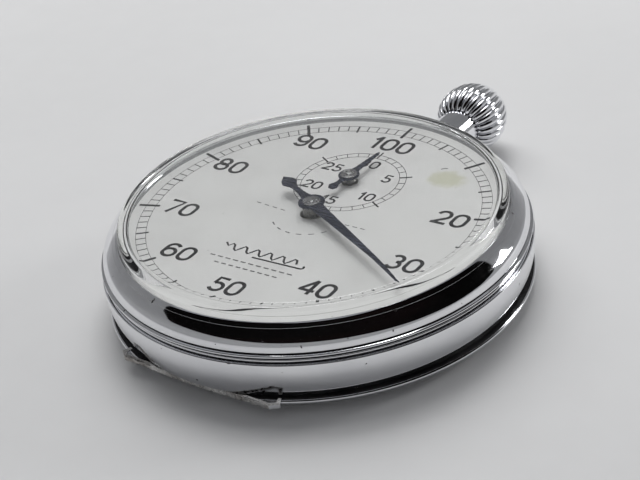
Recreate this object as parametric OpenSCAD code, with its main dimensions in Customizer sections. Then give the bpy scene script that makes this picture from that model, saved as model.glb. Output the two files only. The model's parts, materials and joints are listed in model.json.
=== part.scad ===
// Mechanical pocket stopwatch, 1/100 minute dial with a 30 minute counter.
// The dial faces +Z and the crown points to +Y. The origin is on the watch's
// axis, in the flat of the back cover that it rests on. Sizes in millimetres.

/* [Case] */
// Radius of the case band at its widest
band_r = 25; // [24.5:0.1:31]
// Radial wall of the case band around the movement
band_wall = 4.5; // [3.6:0.1:4.6]
// Radial width of the bezel, from its outer edge to the crystal
bezel_w = 2.1; // [1.6:0.1:2.4]
// Height of the seam between bezel and band, below the dial
bezel_drop = 2.7; // [1.8:0.05:2.9]
// Radial reach of the bezel's lower edge beyond its shoulder
bezel_edge = 0.28; // [0.1:0.02:0.36]
// Height of the bezel's inner edge above the dial
bezel_rise = 0.56; // [0.4:0.02:0.9]
// Thickness of the crystal
crystal_t = 0.65; // [0.5:0.05:0.7]
// Radius of the crystal's rounded shoulder
crystal_shoulder = 2.4; // [1.8:0.1:2.8]
// Height of the crystal's middle above the dial
crystal_rise = 2.9; // [2.7:0.05:4]
// Thickness of the back cover
back_t = 0.7; // [0.5:0.05:0.9]
// Height of the back cover's lip above the rest face
lip_h = 1.4; // [1.1:0.05:2]
// Thickness of the back cover's lip
lip_t = 0.45; // [0.3:0.05:0.6]
// Radius of the flat that the watch rests on
rest_r = 13; // [8:0.5:16]
// Half width of the thumb lip that opens the back
thumb_w = 10.2; // [6:0.1:12]
// Distance of the thumb lip's straight edge from the axis, short of the band's radius
thumb_inset = 1.4; // [1:0.05:2]

/* [Crown] */
// Radius of the crown over its ribs
crown_r = 4.4; // [3.8:0.05:4.6]
// Length of the crown
crown_l = 7.4; // [6:0.1:9]
// Number of ribs round the crown
crown_ribs = 28; // [20:1:36]
// Outer radius of the pendant tube
neck_r = 2.65; // [2.4:0.05:3]
// Visible length of the pendant tube between band and crown
neck_l = 6.9; // [5:0.1:9]
// Travel of the crown when it is pressed
push_travel = 1.1; // [0.6:0.05:1.2]
// Radius of the winding stem
stem_r = 0.8; // [0.65:0.05:0.9]

/* [Dial and hands] */
// Thickness of the dial
dial_t = 0.4; // [0.3:0.05:0.5]
// Distance of the minute counter's centre above the dial's centre
counter_y = 7.63; // [7.4:0.01:8]
// Length of the sweep hand from its axis to its tip
sweep_l = 19.9; // [15:0.1:20]
// Length of the minute hand
minute_l = 5.8; // [4:0.1:6.5]
// Thickness of the hands
hand_t = 0.16; // [0.1:0.02:0.2]
// Height of the sweep hand above the dial
sweep_h = 1.36; // [1.2:0.02:1.4]
// Height of the minute hand above the dial
minute_h = 0.84; // [0.6:0.02:0.9]
// Angle of the sweep hand at rest, clockwise from the crown
sweep_deg = 118.6; // [0:0.1:359]
// Angle of the minute hand at rest, clockwise from the crown
minute_deg = 5; // [0:0.1:359]

/* [Movement] */
// Height of the space behind the bridges
works_h = 2.3; // [2.2:0.05:3]
// Thickness of the bridges
bridge_t = 1; // [0.8:0.05:1.2]
// Height of the space between bridges and mainplate
train_h = 3.6; // [3.6:0.05:4.6]
// Thickness of the mainplate
plate_t = 1.6; // [1.2:0.05:2]
// Gap between mainplate and dial
dial_gap = 0.4; // [0.3:0.05:0.6]
// Distance of the barrel's centre from the axis
barrel_dist = 12; // [12:0.1:12.2]
// Direction of the barrel from the axis
barrel_deg = 128; // [127:0.5:129]
// Distance of the crown wheel's centre from the axis
crown_wheel_y = 14.2; // [14:0.1:14.6]
// Balance wheel radius over its rim
balance_r = 5.4; // [4.5:0.1:5.6]
// Escape wheel radius over its teeth
escape_r = 2.3; // [2:0.05:2.4]
// Radius of the plain arbors
arbor_r = 0.22; // [0.18:0.01:0.25]
// Radius of the sweep arbor
sweep_arbor_r = 0.35; // [0.3:0.01:0.4]

/* [Fits] */
// Radial running clearance of turning parts
run = 0.04; // [0.03:0.005:0.06]
// Clearance between parts that pass each other
pass = 0.1; // [0.08:0.01:0.15]
// Radial clearance of the movement in the case
case_fit = 0.08; // [0.05:0.01:0.15]

/* [Hidden] */
$fn = 64;

// Levels, from the rest face up to the dial
z_works = back_t;
z_bridge = z_works + works_h;
z_train = z_bridge + bridge_t;
z_plate = z_train + train_h;
z_plate_top = z_plate + plate_t;
z_dial_low = z_plate_top + dial_gap;
z_dial = z_dial_low + dial_t;
z_groove = z_dial - bezel_drop;
z_lip = lip_h + lip_t;
seam = 0.1;
// Winding works level, behind the bridges
z_wind = z_bridge - 0.75;
wind_t = 0.65;
// Level of the counter's finger and wheels
z_count = z_bridge - 1.45;
count_t = 0.35;
// Stem axis, just above the bridges
stem_z = z_train + stem_r + 0.07;

// Case radii
inner_r = band_r - band_wall;
plate_r = inner_r - case_fit;
shoulder_r = band_r - 0.4;
glass_r = shoulder_r - bezel_w;
dial_r = glass_r - 0.35;
seat_r = dial_r + 0.08;
rim_r = seat_r + 0.95;
crown_y = band_r + neck_l;
tube_end_y = crown_y + 1;
recess_y = tube_end_y + push_travel + 0.35;
crown_end_y = crown_y + crown_l;

// Gears: teeth counts and pitch radii
barrel_n = 84;
second_n = 80;
third_n = 75;
fourth_n = 80;
escape_n = 15;
second_pn = 12;
third_pn = 10;
fourth_pn = 10;
escape_pn = 8;
ratchet_n = 52;
crown_n = 24;
wind_n = 12;
minute_n = 30;
middle_n = 10;
column_n = 18;
barrel_p = 6.72;
second_p = 5.2;
third_p = 4.3125;
fourth_p = 4;
second_pp = barrel_p * second_pn / barrel_n;
third_pp = second_p * third_pn / second_n;
fourth_pp = third_p * fourth_pn / third_n;
escape_pp = fourth_p * escape_pn / fourth_n;

function polar(r, a) = [r * cos(a), r * sin(a)];
function ang(a, b) = atan2(b[1] - a[1], b[0] - a[0]);
// Meeting point of two circles, to the left of the line from a to b
function meet(a, ra, b, rb) =
  let (d = norm(b - a), x = (ra * ra - rb * rb + d * d) / (2 * d), h = sqrt(ra * ra - x * x),
       u = (b - a) / d)
  a + u * x + [-u[1], u[0]] * h;

// Axes of the movement
axis_c = [0, 0];
axis_m = [0, counter_y];
axis_b = polar(barrel_dist, barrel_deg);
axis_w = [0, crown_wheel_y];
axis_t = polar(third_p + fourth_pp, barrel_deg + 93);
axis_s = meet(axis_t, second_p + third_pp, axis_b, barrel_p + second_pp);
axis_e = polar(fourth_p + escape_pp, -38);
lever_deg = -62;
pallet_d = escape_r * 1.25;
axis_p = axis_e + polar(pallet_d, lever_deg);
balance_d = 4.4;
axis_o = axis_p + polar(balance_d, lever_deg);
axis_k = [10.2, 9.6];
axis_l = [8.6, 14.4];
axis_h = [6.4, 4.4];
axis_j = [14.6, 1.6];
axis_i = [2.2, 3.3];
wind_d = norm(axis_b - axis_w);
ratchet_p = wind_d * ratchet_n / (ratchet_n + crown_n);
crown_p = wind_d * crown_n / (ratchet_n + crown_n);

// Dial, feet and the pipes of the hands
dial_feet = [5, 118, 242];
foot_r = 0.45;
pipe_r = 1.3;
counter_pipe_r = 0.8;

// Bridge feet with their screws, shared by the bridges and the mainplate's holes
barrel_feet = [polar(plate_r - 2.9, 170), polar(plate_r - 2.6, 102), polar(plate_r - 2.8, 20),
  polar(plate_r - 2.6, 72)];
train_feet = [polar(13.6, 190), polar(12.5, 240), polar(9.6, 12)];
cock_foot = axis_o + polar(7.6, -10);
pallet_feet = [axis_p + polar(2.6, lever_deg + 90), axis_p + polar(2.6, lever_deg - 90)];
foot_w = 1.15;
screw_r = 0.45;
case_screw_deg = [-60, 35, 150];
z_cock = z_bridge - 0.85;
z_pallet_bridge = z_train + 1.05;

// Jewels
train_axes = [axis_s, axis_t, axis_e];
jewel_r = 0.7;
jewel_t = 0.4;
pivot_low = z_train - jewel_t + 0.05;
pivot_top = z_plate + jewel_t - 0.05;

// Barrel, winding works and crown
z_barrel = z_train + 0.2;
z_drum_top = z_train + 2.6;
drum_r = barrel_p - 0.45;
barrel_arbor_r = 0.9;
arbor_sq = 1.1;
click_axis = axis_b + polar(ratchet_p + 1.5, 190);
stud_post_r = 0.4;
wind_tip = stem_z - z_bridge - 0.04;
wind_y = axis_w[1] + crown_p - 0.75;
wind_l = 1.7;
stem_sq = 0.9;
stem_in_y = wind_y - 0.5;
sleeve_r = 1.9;
sleeve_y = inner_r + 3.4;
tube_in_y = inner_r - 0.5;

// Start, stop and reset works
z_lever = z_train + 0.35;
lever_t = 0.7;
column_r = 1.45;
column_tip = 2;
column_post_r = 0.5;
z_column = z_works + 1.25;
heart_max = 1.3;
heart_min = 0.55;
middle_tip = 1.5;
finger_r = norm(axis_i) - middle_tip - 0.12;
minute_tip = norm(axis_m - axis_i) - middle_tip - 0.06;
minute_arbor_r = arbor_r + 0.08;

// Levels of the going train and the escapement
z_second = z_plate - 0.65;
z_third = z_plate - 1.6;
z_fourth = z_plate - 2.55;
z_escape = z_plate - 1.5;
z_roller = z_escape - 0.45;
z_rim = z_bridge + 0.75;
pin_orbit = 0.85;
pin_r = 0.15;
stone_deg = 70;
stone_d = 1.42;
staff_r = 0.45;
hair_r = 2.3;
hair_w = 0.05;
collet_r = 0.7;
z_hair = z_cock + 1.05;
stud_r = 0.25;
stud_p = axis_o + polar(hair_r + hair_w / 2 + stud_r, ang(axis_o, cock_foot) + 14);
boss_r = 0.9;

// ---------------------------------------------------------------- helpers
module at(p, z = 0) {
  translate([p[0], p[1], z]) children();
}

module disc(r, h, z = 0) {
  translate([0, 0, z]) cylinder(r = r, h = h);
}

// Straight bar with round ends
module bar(a, b, w) {
  translate(a) circle(d = w);
  translate(b) circle(d = w);
  translate(a) rotate(ang(a, b)) translate([0, -w / 2]) square([norm(b - a), w]);
}

// Bar with straight sides that narrows from w1 to w2
module taper(a, b, w1, w2) {
  d = norm(b - a);
  translate(a) rotate(ang(a, b)) polygon([[0, -w1 / 2], [d, -w2 / 2], [d, w2 / 2], [0, w1 / 2]]);
}

// Spur gear outline; the teeth are thinned so that meshes keep a visible backlash
module gear2d(n, pitch, phase = 0, add = 0.62, fill = 0.3) {
  m = 2 * pitch / n;
  root = pitch - 1.05 * m;
  tip = pitch + add * m;
  half = 180 / n;
  polygon([for (i = [0:n - 1], k = [0:3])
    let (a = phase + 2 * half * i, w = (k == 0 || k == 3) ? fill * 1.5 : fill * 0.62,
         s = k < 2 ? -1 : 1, r = (k == 0 || k == 3) ? root : tip)
    polar(r, a + s * half * w)]);
}

// Round window pattern that leaves n spokes in a wheel
module spokes2d(n, r_hub, r_rim, w) {
  difference() {
    circle(r = r_rim);
    circle(r = r_hub);
    for (i = [0:n - 1]) rotate(360 * i / n) translate([0, -w / 2]) square([r_rim + 1, w]);
  }
}

// Going-train wheel with spokes and a bore
module wheel(n, pitch, bore, t, phase = 0, arms = 5) {
  linear_extrude(t) difference() {
    gear2d(n, pitch, phase);
    spokes2d(arms, bore + 0.7, pitch - 0.75, 0.5);
    circle(r = bore);
  }
}

// Arbor with leaves of a pinion; the pivots run in jewels
module pinion(n, pitch, phase, z1, z2, leaf_z, leaf_h, r) {
  disc(r, z2 - z1, z1);
  translate([0, 0, leaf_z]) linear_extrude(leaf_h) gear2d(n, pitch, phase, 0.62, 0.34);
}

// Slotted cheese-head screw, head down (towards -Z) at z
module screw(r_head, h_head, r_shank, l_shank, z) {
  difference() {
    disc(r_head, h_head, z - h_head);
    translate([-r_head - 1, -r_head * 0.12, z - h_head - 1])
      cube([2 * r_head + 2, r_head * 0.24, 1 + h_head * 0.45]);
  }
  disc(r_shank, l_shank, z);
}

// Wound leaf drawn as a row of short straight bars along a spiral
module spiral2d(r1, r2, turns, w, per_turn, start = 0) {
  n = turns * per_turn;
  inner = [for (i = [0:n]) let (f = i / n) polar(r1 + (r2 - r1) * f - w / 2, start + 360 * turns * f)];
  outer = [for (i = [n:-1:0]) let (f = i / n) polar(r1 + (r2 - r1) * f + w / 2, start + 360 * turns * f)];
  polygon(concat(inner, outer));
}

// Heart-shaped cam outline: radius grows evenly from the notch to the point
module heart2d(r1, r2, a0) {
  steps = 24;
  polygon([for (i = [0:steps - 1])
    let (a = 360 * i / steps, f = abs(180 - a) / 180) polar(r2 - (r2 - r1) * f, a + a0)]);
}

// ---------------------------------------------------------------- case
function arc(c, r, a1, a2, n) =
  [for (i = [0:n]) c + polar(r, a1 + (a2 - a1) * i / n)];

// The thumb lip's plan: a straight edge whose corners stand out of the rim
module thumb2d(half, edge_y) {
  polygon([[-half, -edge_y], [half, -edge_y], [half + 1.2, -edge_y + 2.2], [-half - 1.2, -edge_y + 2.2]]);
}

module back_cover() {
  rim = band_r - 0.02;
  wall_r = inner_r + 1.3;
  color("silver") difference() {
    union() {
      rotate_extrude($fn = 180) polygon([[0, 0], [rest_r, 0], [rest_r + 5, 0.32], [rim - 2.2, lip_h - 0.32],
        [rim, lip_h], [rim, z_lip], [wall_r, z_lip], [wall_r, z_lip + 0.9], [wall_r - 0.6, z_lip + 0.9],
        [wall_r - 0.6, z_lip - 0.2], [rest_r, back_t], [0, back_t]]);
      translate([0, 0, lip_h]) linear_extrude(lip_t)
        rotate(-2) difference() {
          thumb2d(thumb_w, band_r - thumb_inset);
          circle(r = rim - 3);
        }
    }
    rotate(-2) translate([-thumb_w, -band_r - 5, -1]) cube([2 * thumb_w, 5 + thumb_inset, z_lip + 2]);
    // Notch of the snap ring under the pendant tube
    translate([-neck_r - pass, 0, z_lip]) cube([2 * (neck_r + pass), band_r, 2]);
  }
}

module case_band() {
  low = z_lip + seam;
  mid = (low + z_groove) / 2;
  color("silver") difference() {
    rotate_extrude($fn = 180) polygon(concat(
      [[inner_r + 1.35, low], [band_r - 0.35, low]],
      arc([band_r - 5.2, mid], 5.2, -26, 21, 8),
      [[shoulder_r - 0.1, z_groove - 0.5], [shoulder_r, z_groove - 0.15], [shoulder_r - 0.35, z_groove],
       [rim_r, z_groove], [rim_r, z_dial - 0.1], [seat_r, z_dial - 0.1], [seat_r, z_dial_low],
       [inner_r, z_dial_low], [inner_r, z_plate], [inner_r + 0.45, z_plate], [inner_r + 0.45, low + 1.6],
       [inner_r + 1.35, low + 1.6]]));
    // Hole of the pendant tube
    translate([0, band_r - 8, stem_z]) rotate([-90, 0, 0]) cylinder(r = neck_r, h = 12);
  }
}

module bezel() {
  inner = glass_r + run;
  color("silver") difference() {
    rotate_extrude($fn = 180) polygon(concat(
      [[rim_r + run, z_groove + seam], [shoulder_r + bezel_edge, z_groove + seam],
       [shoulder_r + bezel_edge, z_groove + 0.25], [shoulder_r, z_groove + 0.4]],
      arc([shoulder_r - 3, z_groove + 0.45], 3, 0, 46, 9),
      [[inner + 0.25, z_dial + bezel_rise], [inner, z_dial + bezel_rise - 0.1], [inner, z_dial + 0.05],
       [rim_r + run, z_dial + 0.05]]));
    // Relief over the pendant tube
    translate([0, band_r - 8, stem_z]) rotate([-90, 0, 0]) cylinder(r = neck_r + run, h = 12);
  }
}

module crystal() {
  c = [glass_r - crystal_shoulder, z_dial - 0.15];
  top_z = z_dial + crystal_rise;
  sag_out = top_z - c[1] - crystal_shoulder;
  r_in = crystal_shoulder - crystal_t;
  foot = z_dial + 0.02;
  edge_a = asin((foot - c[1]) / crystal_shoulder);
  edge_i = asin((foot - c[1]) / r_in);
  color([0.9, 0.95, 1, 0.35]) rotate_extrude($fn = 180) polygon(concat(
    arc(c, crystal_shoulder, edge_a, 84, 10),
    [for (i = [1:6]) let (f = i / 6)
      [c[0] * (1 - f), c[1] + crystal_shoulder + sag_out * (1 - (1 - f) * (1 - f))]],
    [for (i = [6:-1:1]) let (f = i / 6)
      [c[0] * (1 - f), c[1] + r_in + sag_out * (1 - (1 - f) * (1 - f))]],
    arc(c, r_in, 84, edge_i, 8)));
}

module pendant_tube() {
  color("silver") translate([0, 0, stem_z]) rotate([-90, 0, 0]) difference() {
    translate([0, 0, tube_in_y]) cylinder(r = neck_r, h = tube_end_y - tube_in_y);
    translate([0, 0, tube_in_y + 1]) cylinder(r = sleeve_r + run, h = tube_end_y);
    translate([0, 0, tube_in_y - 1]) cylinder(r = stem_r + pass, h = 4);
  }
}

// Dog screws: half of each head reaches over a step in the band
module case_screws() {
  color("lightsteelblue") for (a = case_screw_deg) at(polar(plate_r - 0.9, a))
    screw(1.2, 0.5, 0.5, 1.1, z_plate);
}

// ---------------------------------------------------------------- dial and plates
module dial() {
  color("whitesmoke") difference() {
    union() {
      disc(dial_r, dial_t, z_dial_low, $fn = 180);
      for (a = dial_feet) at(polar(plate_r - 1.6, a), z_dial_low - dial_gap - plate_t * 0.7)
        cylinder(r = foot_r, h = dial_gap + plate_t * 0.7);
    }
    disc(pipe_r + 0.2, 2, z_dial_low - 1);
    at(axis_m) disc(counter_pipe_r + 0.2, 2, z_dial_low - 1);
  }
}

module mainplate() {
  color("goldenrod") difference() {
    disc(plate_r, plate_t, z_plate, $fn = 180);
    for (p = concat(barrel_feet, train_feet, pallet_feet, [cock_foot]))
      at(p) disc(screw_r, plate_t * 0.7, z_plate);
    for (a = case_screw_deg) at(polar(plate_r - 0.9, a)) disc(0.5, 1.1, z_plate);
    for (a = dial_feet) at(polar(plate_r - 1.6, a)) disc(foot_r, plate_t + 1, z_plate_top - plate_t * 0.7);
    for (p = train_axes) at(p) disc(jewel_r, jewel_t, z_plate);
    for (p = [axis_p, axis_o]) at(p) disc(jewel_r, jewel_t, z_plate);
    disc(sweep_arbor_r + run, plate_t + 2, z_plate - 1);
    at(axis_m) disc(minute_arbor_r + run, plate_t + 2, z_plate - 1);
    at(axis_b) disc(barrel_arbor_r + run, plate_t * 0.6, z_plate);
    at(axis_k) disc(column_post_r, plate_t * 0.6, z_plate);
    at(axis_l) disc(0.5 + run, plate_t * 0.6, z_plate);
    for (p = [axis_h, axis_j]) at(p) disc(stud_post_r, plate_t * 0.5, z_plate);
  }
}

module foot(p, z1) {
  at(p) disc(foot_w, z_plate - z1, z1);
}

module barrel_bridge() {
  edge = plate_r - 1.3;
  color("gainsboro") difference() {
    union() {
      translate([0, 0, z_bridge]) linear_extrude(bridge_t) difference() {
        circle(r = edge, $fn = 128);
        // Lower edge, which leaves room for the train bridge
        polygon([[-22, 0.4], [-14.6, 0.4], [-11.6, 4.2], [-4.4, 5.6], [2.4, 5.6], [5, 2.6], [11.8, 3.9],
          [11.8, -3.8], [22, -3.8], [22, -22], [-22, -22]]);
      }
      for (p = barrel_feet) foot(p, z_bridge);
    }
    for (p = barrel_feet) at(p) disc(screw_r, z_plate, z_bridge - 1);
    at(axis_b) disc(barrel_arbor_r + run, 4, z_bridge - 1);
    at(axis_w) disc(0.6, 4, z_bridge - 1);
    at(axis_m) disc(minute_arbor_r + run, 4, z_bridge - 1);
    // Window of the winding pinion and half channel of the stem
    translate([-2.2, axis_w[1] + crown_p - 0.95, z_bridge - 1]) cube([4.4, 2.1, 4]);
    at(axis_k) disc(column_r + pass, 4, z_bridge - 1);
    at(axis_l) disc(0.5 + run, 4, z_bridge - 1);
    for (p = [click_axis, axis_h, axis_j]) at(p) disc(stud_post_r, 4, z_bridge - 1);
  }
}

module train_bridge() {
  p1 = train_feet[0];
  p2 = train_feet[1];
  p3 = train_feet[2];
  color("gainsboro") difference() {
    union() {
      translate([0, 0, z_bridge]) linear_extrude(bridge_t) {
        bar(p1, axis_s, 3);
        bar(p1, axis_t, 3.4);
        bar(p2, axis_t, 3);
        bar(axis_s, axis_c, 3);
        bar(axis_t, axis_c, 3.4);
        bar(axis_c, axis_e, 2.4);
        bar(axis_c, p3, 2.6);
        polygon([p1, axis_s, axis_c, axis_t]);
        polygon([p1, axis_t, p2]);
      }
      for (p = train_feet) foot(p, z_bridge);
    }
    for (p = train_feet) at(p) disc(screw_r, z_plate, z_bridge - 1);
    for (p = train_axes) at(p) disc(jewel_r, jewel_t, z_train - jewel_t);
    for (p = train_axes) at(p) disc(0.4, 3, z_bridge - 1);
    disc(sweep_arbor_r + run, 4, z_bridge - 1);
  }
}

module balance_cock() {
  color("gainsboro") difference() {
    union() {
      translate([0, 0, z_cock]) linear_extrude(0.8) {
        bar(axis_o, cock_foot, 2.4);
        translate(axis_o) circle(r = 1.7);
      }
      foot(cock_foot, z_cock);
      at(axis_o) disc(boss_r, 0.35, z_cock - 0.35);
    }
    at(cock_foot) disc(screw_r, z_plate, z_cock - 1);
    at(axis_o) disc(jewel_r, jewel_t, z_cock + 0.8 - jewel_t);
    at(axis_o) disc(0.4, 3, z_cock - 1.2);
    at(stud_p) disc(stud_r, 3, z_cock - 1);
  }
}

module pallet_bridge() {
  color("gainsboro") difference() {
    union() {
      translate([0, 0, z_pallet_bridge]) linear_extrude(0.5) bar(pallet_feet[0], pallet_feet[1], 1.5);
      for (p = pallet_feet) at(p) disc(0.75, z_plate - z_pallet_bridge, z_pallet_bridge);
    }
    for (p = pallet_feet) at(p) disc(screw_r, z_plate, z_pallet_bridge - 1);
    at(axis_p) disc(arbor_r + run, 4, z_pallet_bridge - 1);
  }
}

// Bridge screws: shanks end inside the mainplate's threads
module bridge_screws() {
  end = z_plate + plate_t * 0.6;
  color("steelblue") {
    for (p = concat(barrel_feet, train_feet)) at(p) screw(0.85, 0.45, screw_r, end - z_bridge, z_bridge);
    at(cock_foot) screw(0.85, 0.45, screw_r, end - z_cock, z_cock);
    for (p = pallet_feet) at(p) screw(0.6, 0.3, screw_r, end - z_pallet_bridge, z_pallet_bridge);
  }
}

module jewel(bore) {
  difference() {
    disc(jewel_r, jewel_t);
    disc(bore + run, 2, -1);
  }
}

module plate_jewels() {
  color("crimson") {
    for (p = concat(train_axes, [axis_p, axis_o])) at(p, z_plate) jewel(arbor_r);
    for (p = train_axes) at(p, z_train - jewel_t) jewel(arbor_r);
    at(axis_o, z_cock + 0.8 - jewel_t) jewel(arbor_r);
  }
}

// ---------------------------------------------------------------- barrel and winding
module barrel_drum() {
  color("goldenrod") at(axis_b) difference() {
    union() {
      translate([0, 0, z_barrel]) linear_extrude(0.5) gear2d(barrel_n, barrel_p, ang(axis_b, axis_s));
      disc(drum_r, z_drum_top - z_barrel, z_barrel);
    }
    disc(drum_r - 0.5, 10, z_barrel + 0.3);
    disc(barrel_arbor_r + run, 10, z_barrel - 1);
  }
}

module barrel_cover() {
  color("gold") at(axis_b) difference() {
    disc(drum_r - 0.5, 0.3, z_drum_top - 0.3);
    disc(barrel_arbor_r + run, 2, z_drum_top - 1);
  }
}

module barrel_arbor() {
  color("silver") at(axis_b) difference() {
    union() {
      disc(barrel_arbor_r, z_plate + plate_t * 0.55 - z_bridge, z_bridge);
      disc(1.7, 1.2, z_barrel + 0.5);
      translate([-arbor_sq / 2, -arbor_sq / 2, z_wind]) cube([arbor_sq, arbor_sq, z_bridge - z_wind]);
    }
    disc(0.3, 3, z_wind - 1);
  }
}

module mainspring() {
  color("slategray") at(axis_b, z_barrel + 0.42) linear_extrude(z_drum_top - 0.3 - z_barrel - 0.55)
    spiral2d(2.2, drum_r - 0.5 - 0.09, 8, 0.18, 24);
}

module ratchet_wheel() {
  color("silver") at(axis_b, z_wind) linear_extrude(wind_t) difference() {
    gear2d(ratchet_n, ratchet_p, ang(axis_b, axis_w));
    square(arbor_sq, center = true);
  }
}

module ratchet_screw() {
  color("steelblue") at(axis_b) screw(1.5, 0.45, 0.3, 1.9, z_wind);
}

module crown_wheel() {
  color("silver") at(axis_w, z_wind) linear_extrude(wind_t) difference() {
    gear2d(crown_n, crown_p, ang(axis_w, axis_b) + 180 / crown_n);
    circle(r = 1 + run);
  }
}

module crown_wheel_screw() {
  color("steelblue") at(axis_w) {
    disc(1, z_bridge - z_wind + 0.05, z_wind - 0.05);
    screw(1.6, 0.4, 0.6, z_bridge - z_wind + 1.05, z_wind - 0.05);
  }
}

module winding_pinion() {
  m = wind_tip / (wind_n / 2 + 0.62);
  color("silver") translate([0, wind_y, stem_z]) rotate([-90, 0, 0]) linear_extrude(wind_l) difference() {
    gear2d(wind_n, m * wind_n / 2, 90);
    square(stem_sq + 2 * run, center = true);
  }
}

module stem() {
  sq_end = wind_y + wind_l + push_travel + 0.2;
  color("silver") translate([0, 0, stem_z]) {
    translate([-stem_sq / 2, stem_in_y, -stem_sq / 2]) cube([stem_sq, sq_end - stem_in_y, stem_sq]);
    rotate([-90, 0, 0]) translate([0, 0, sq_end]) cylinder(r = stem_r, h = recess_y + 1.5 - sq_end);
  }
}

// Onion-shaped crown: ribs are rods bent round its side
module crown() {
  core = crown_r - 0.3;
  y0 = crown_y;
  color("silver") translate([0, 0, stem_z]) rotate([-90, 0, 0]) difference() {
    intersection() {
      rotate_extrude($fn = 96) polygon([[0, y0], [crown_r * 0.74, y0], [crown_r * 0.92, y0 + crown_l * 0.14],
        [crown_r, y0 + crown_l * 0.34], [crown_r, y0 + crown_l * 0.52], [crown_r * 0.93, y0 + crown_l * 0.7],
        [crown_r * 0.76, y0 + crown_l * 0.86], [crown_r * 0.48, y0 + crown_l * 0.96], [0, crown_end_y]]);
      translate([0, 0, y0]) linear_extrude(crown_l) union() {
        circle(r = core, $fn = 96);
        for (i = [0:crown_ribs - 1]) rotate(360 * i / crown_ribs) translate([core - 0.1, -0.22])
          square([0.4, 0.44]);
      }
    }
    translate([0, 0, y0 - 1]) cylinder(r = neck_r + 0.2, h = recess_y - y0 + 1);
    translate([0, 0, y0]) cylinder(r = stem_r, h = recess_y + 1.5 - y0);
  }
}

// Pressed with the crown but does not turn
module push_sleeve() {
  color("silver") translate([0, 0, stem_z]) rotate([-90, 0, 0]) difference() {
    translate([0, 0, sleeve_y]) cylinder(r = sleeve_r, h = recess_y - 0.05 - sleeve_y);
    translate([0, 0, sleeve_y - 1]) cylinder(r = stem_r + run, h = recess_y);
  }
}

// Return spring of the crown, wound round the stem
module crown_spring() {
  turns = 3;
  seg = 14;
  sides = 6;
  coil = 1.4;
  wire = 0.17;
  y1 = tube_in_y + 1 + wire * sin(60);
  y2 = sleeve_y - wire - 0.05;
  n = turns * seg;
  pts = [for (i = [0:n], k = [0:sides - 1])
    let (a = 360 * i / seg, b = 360 * k / sides, r = coil + wire * cos(b))
    [r * cos(a), y1 + (y2 - y1) * i / n + wire * sin(b), r * sin(a)]];
  faces = concat([[for (k = [0:sides - 1]) k]],
    [for (i = [0:n - 1], k = [0:sides - 1]) let (j = (k + 1) % sides)
      [i * sides + k, (i + 1) * sides + k, (i + 1) * sides + j, i * sides + j]],
    [[for (k = [sides - 1:-1:0]) n * sides + k]]);
  color("gray") translate([0, 0, stem_z]) polyhedron(pts, faces);
}

module click() {
  tip = axis_b + polar(ratchet_p + 0.42, 172);
  color("silver") difference() {
    translate([0, 0, z_wind]) linear_extrude(wind_t) {
      translate(click_axis) circle(r = 0.75);
      taper(click_axis, tip, 0.9, 0.35);
    }
    at(click_axis) disc(stud_post_r + run, 3, z_wind - 1);
  }
}

module click_spring() {
  p0 = click_axis + polar(3.6, -62);
  p1 = click_axis + polar(1.05, -28);
  color("steelblue") {
    translate([0, 0, z_wind + 0.15]) linear_extrude(z_bridge - z_wind - 0.15) {
      translate(p0) circle(r = 0.5);
      taper(p0, p1, 0.25, 0.18);
    }
    at(click_axis) {
      disc(stud_post_r, z_train - z_wind, z_wind);
      disc(0.65, 0.25, z_wind - 0.3);
      disc(stud_post_r, 0.1, z_wind - 0.05);
    }
  }
}

// ---------------------------------------------------------------- start, stop and reset works
module operating_lever() {
  nose = [0, stem_in_y - stem_sq / 2 - 0.04];
  hook = axis_k + polar(column_tip + pass, 112);
  color("silver") {
    translate([0, 0, z_lever]) linear_extrude(lever_t) {
      taper(axis_l, nose, 1.4, 0.9);
      translate(nose) circle(d = 0.9);
      translate(axis_l) circle(r = 1.1);
      taper(axis_l, hook, 1.3, 0.4);
    }
    at(axis_l) disc(0.5, plate_t * 0.55 + z_plate - z_bridge - 0.2, z_bridge + 0.2);
  }
}

module column_wheel() {
  color("silver") at(axis_k) difference() {
    union() {
      translate([0, 0, z_lever]) linear_extrude(0.6)
        polygon([for (i = [0:column_n - 1], k = [0:1])
          let (a = -360 * i / column_n)
          k == 0 ? polar(column_tip, a + 3) : polar(column_tip - 0.35, a + 1)]);
      disc(1.45, z_lever - z_bridge + 0.3, z_bridge - 0.3);
      for (i = [0:5]) rotate(60 * i) translate([0, 0, z_column]) linear_extrude(z_bridge - z_column)
        intersection() {
          circle(r = column_r);
          translate([0.85, -0.42]) square([1, 0.84]);
        }
    }
    disc(column_post_r + run, 9, z_column - 1);
  }
}

module column_post() {
  color("steelblue") at(axis_k) {
    disc(column_post_r, z_plate + plate_t * 0.6 - z_column, z_column);
    disc(0.75, 0.3, z_bridge - 0.3 - pass - 0.3);
  }
}

module column_jumper() {
  base = axis_k + polar(7, 205);
  tip = axis_k + polar(column_tip + pass, 200);
  color("steelblue") translate([0, 0, z_train]) linear_extrude(z_lever + 0.5 - z_train) {
    translate(base) circle(r = 0.7);
    taper(base, tip, 0.5, 0.24);
  }
}

module brake_lever() {
  nose = axis_k + polar(column_r + pass + 0.1, -68);
  tip = axis_o + polar(balance_r + 0.55, 74);
  color("silver") difference() {
    translate([0, 0, z_wind]) linear_extrude(wind_t) {
      translate(axis_j) circle(r = 0.95);
      taper(axis_j, nose, 1.1, 0.4);
      taper(axis_j, tip, 1.1, 0.3);
    }
    at(axis_j) disc(stud_post_r + run, 3, z_wind - 1);
  }
  // Upturned finger beside the balance rim
  color("silver") at(tip, z_wind) cylinder(r = 0.2, h = z_train + 0.4 - z_wind);
}

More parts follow.
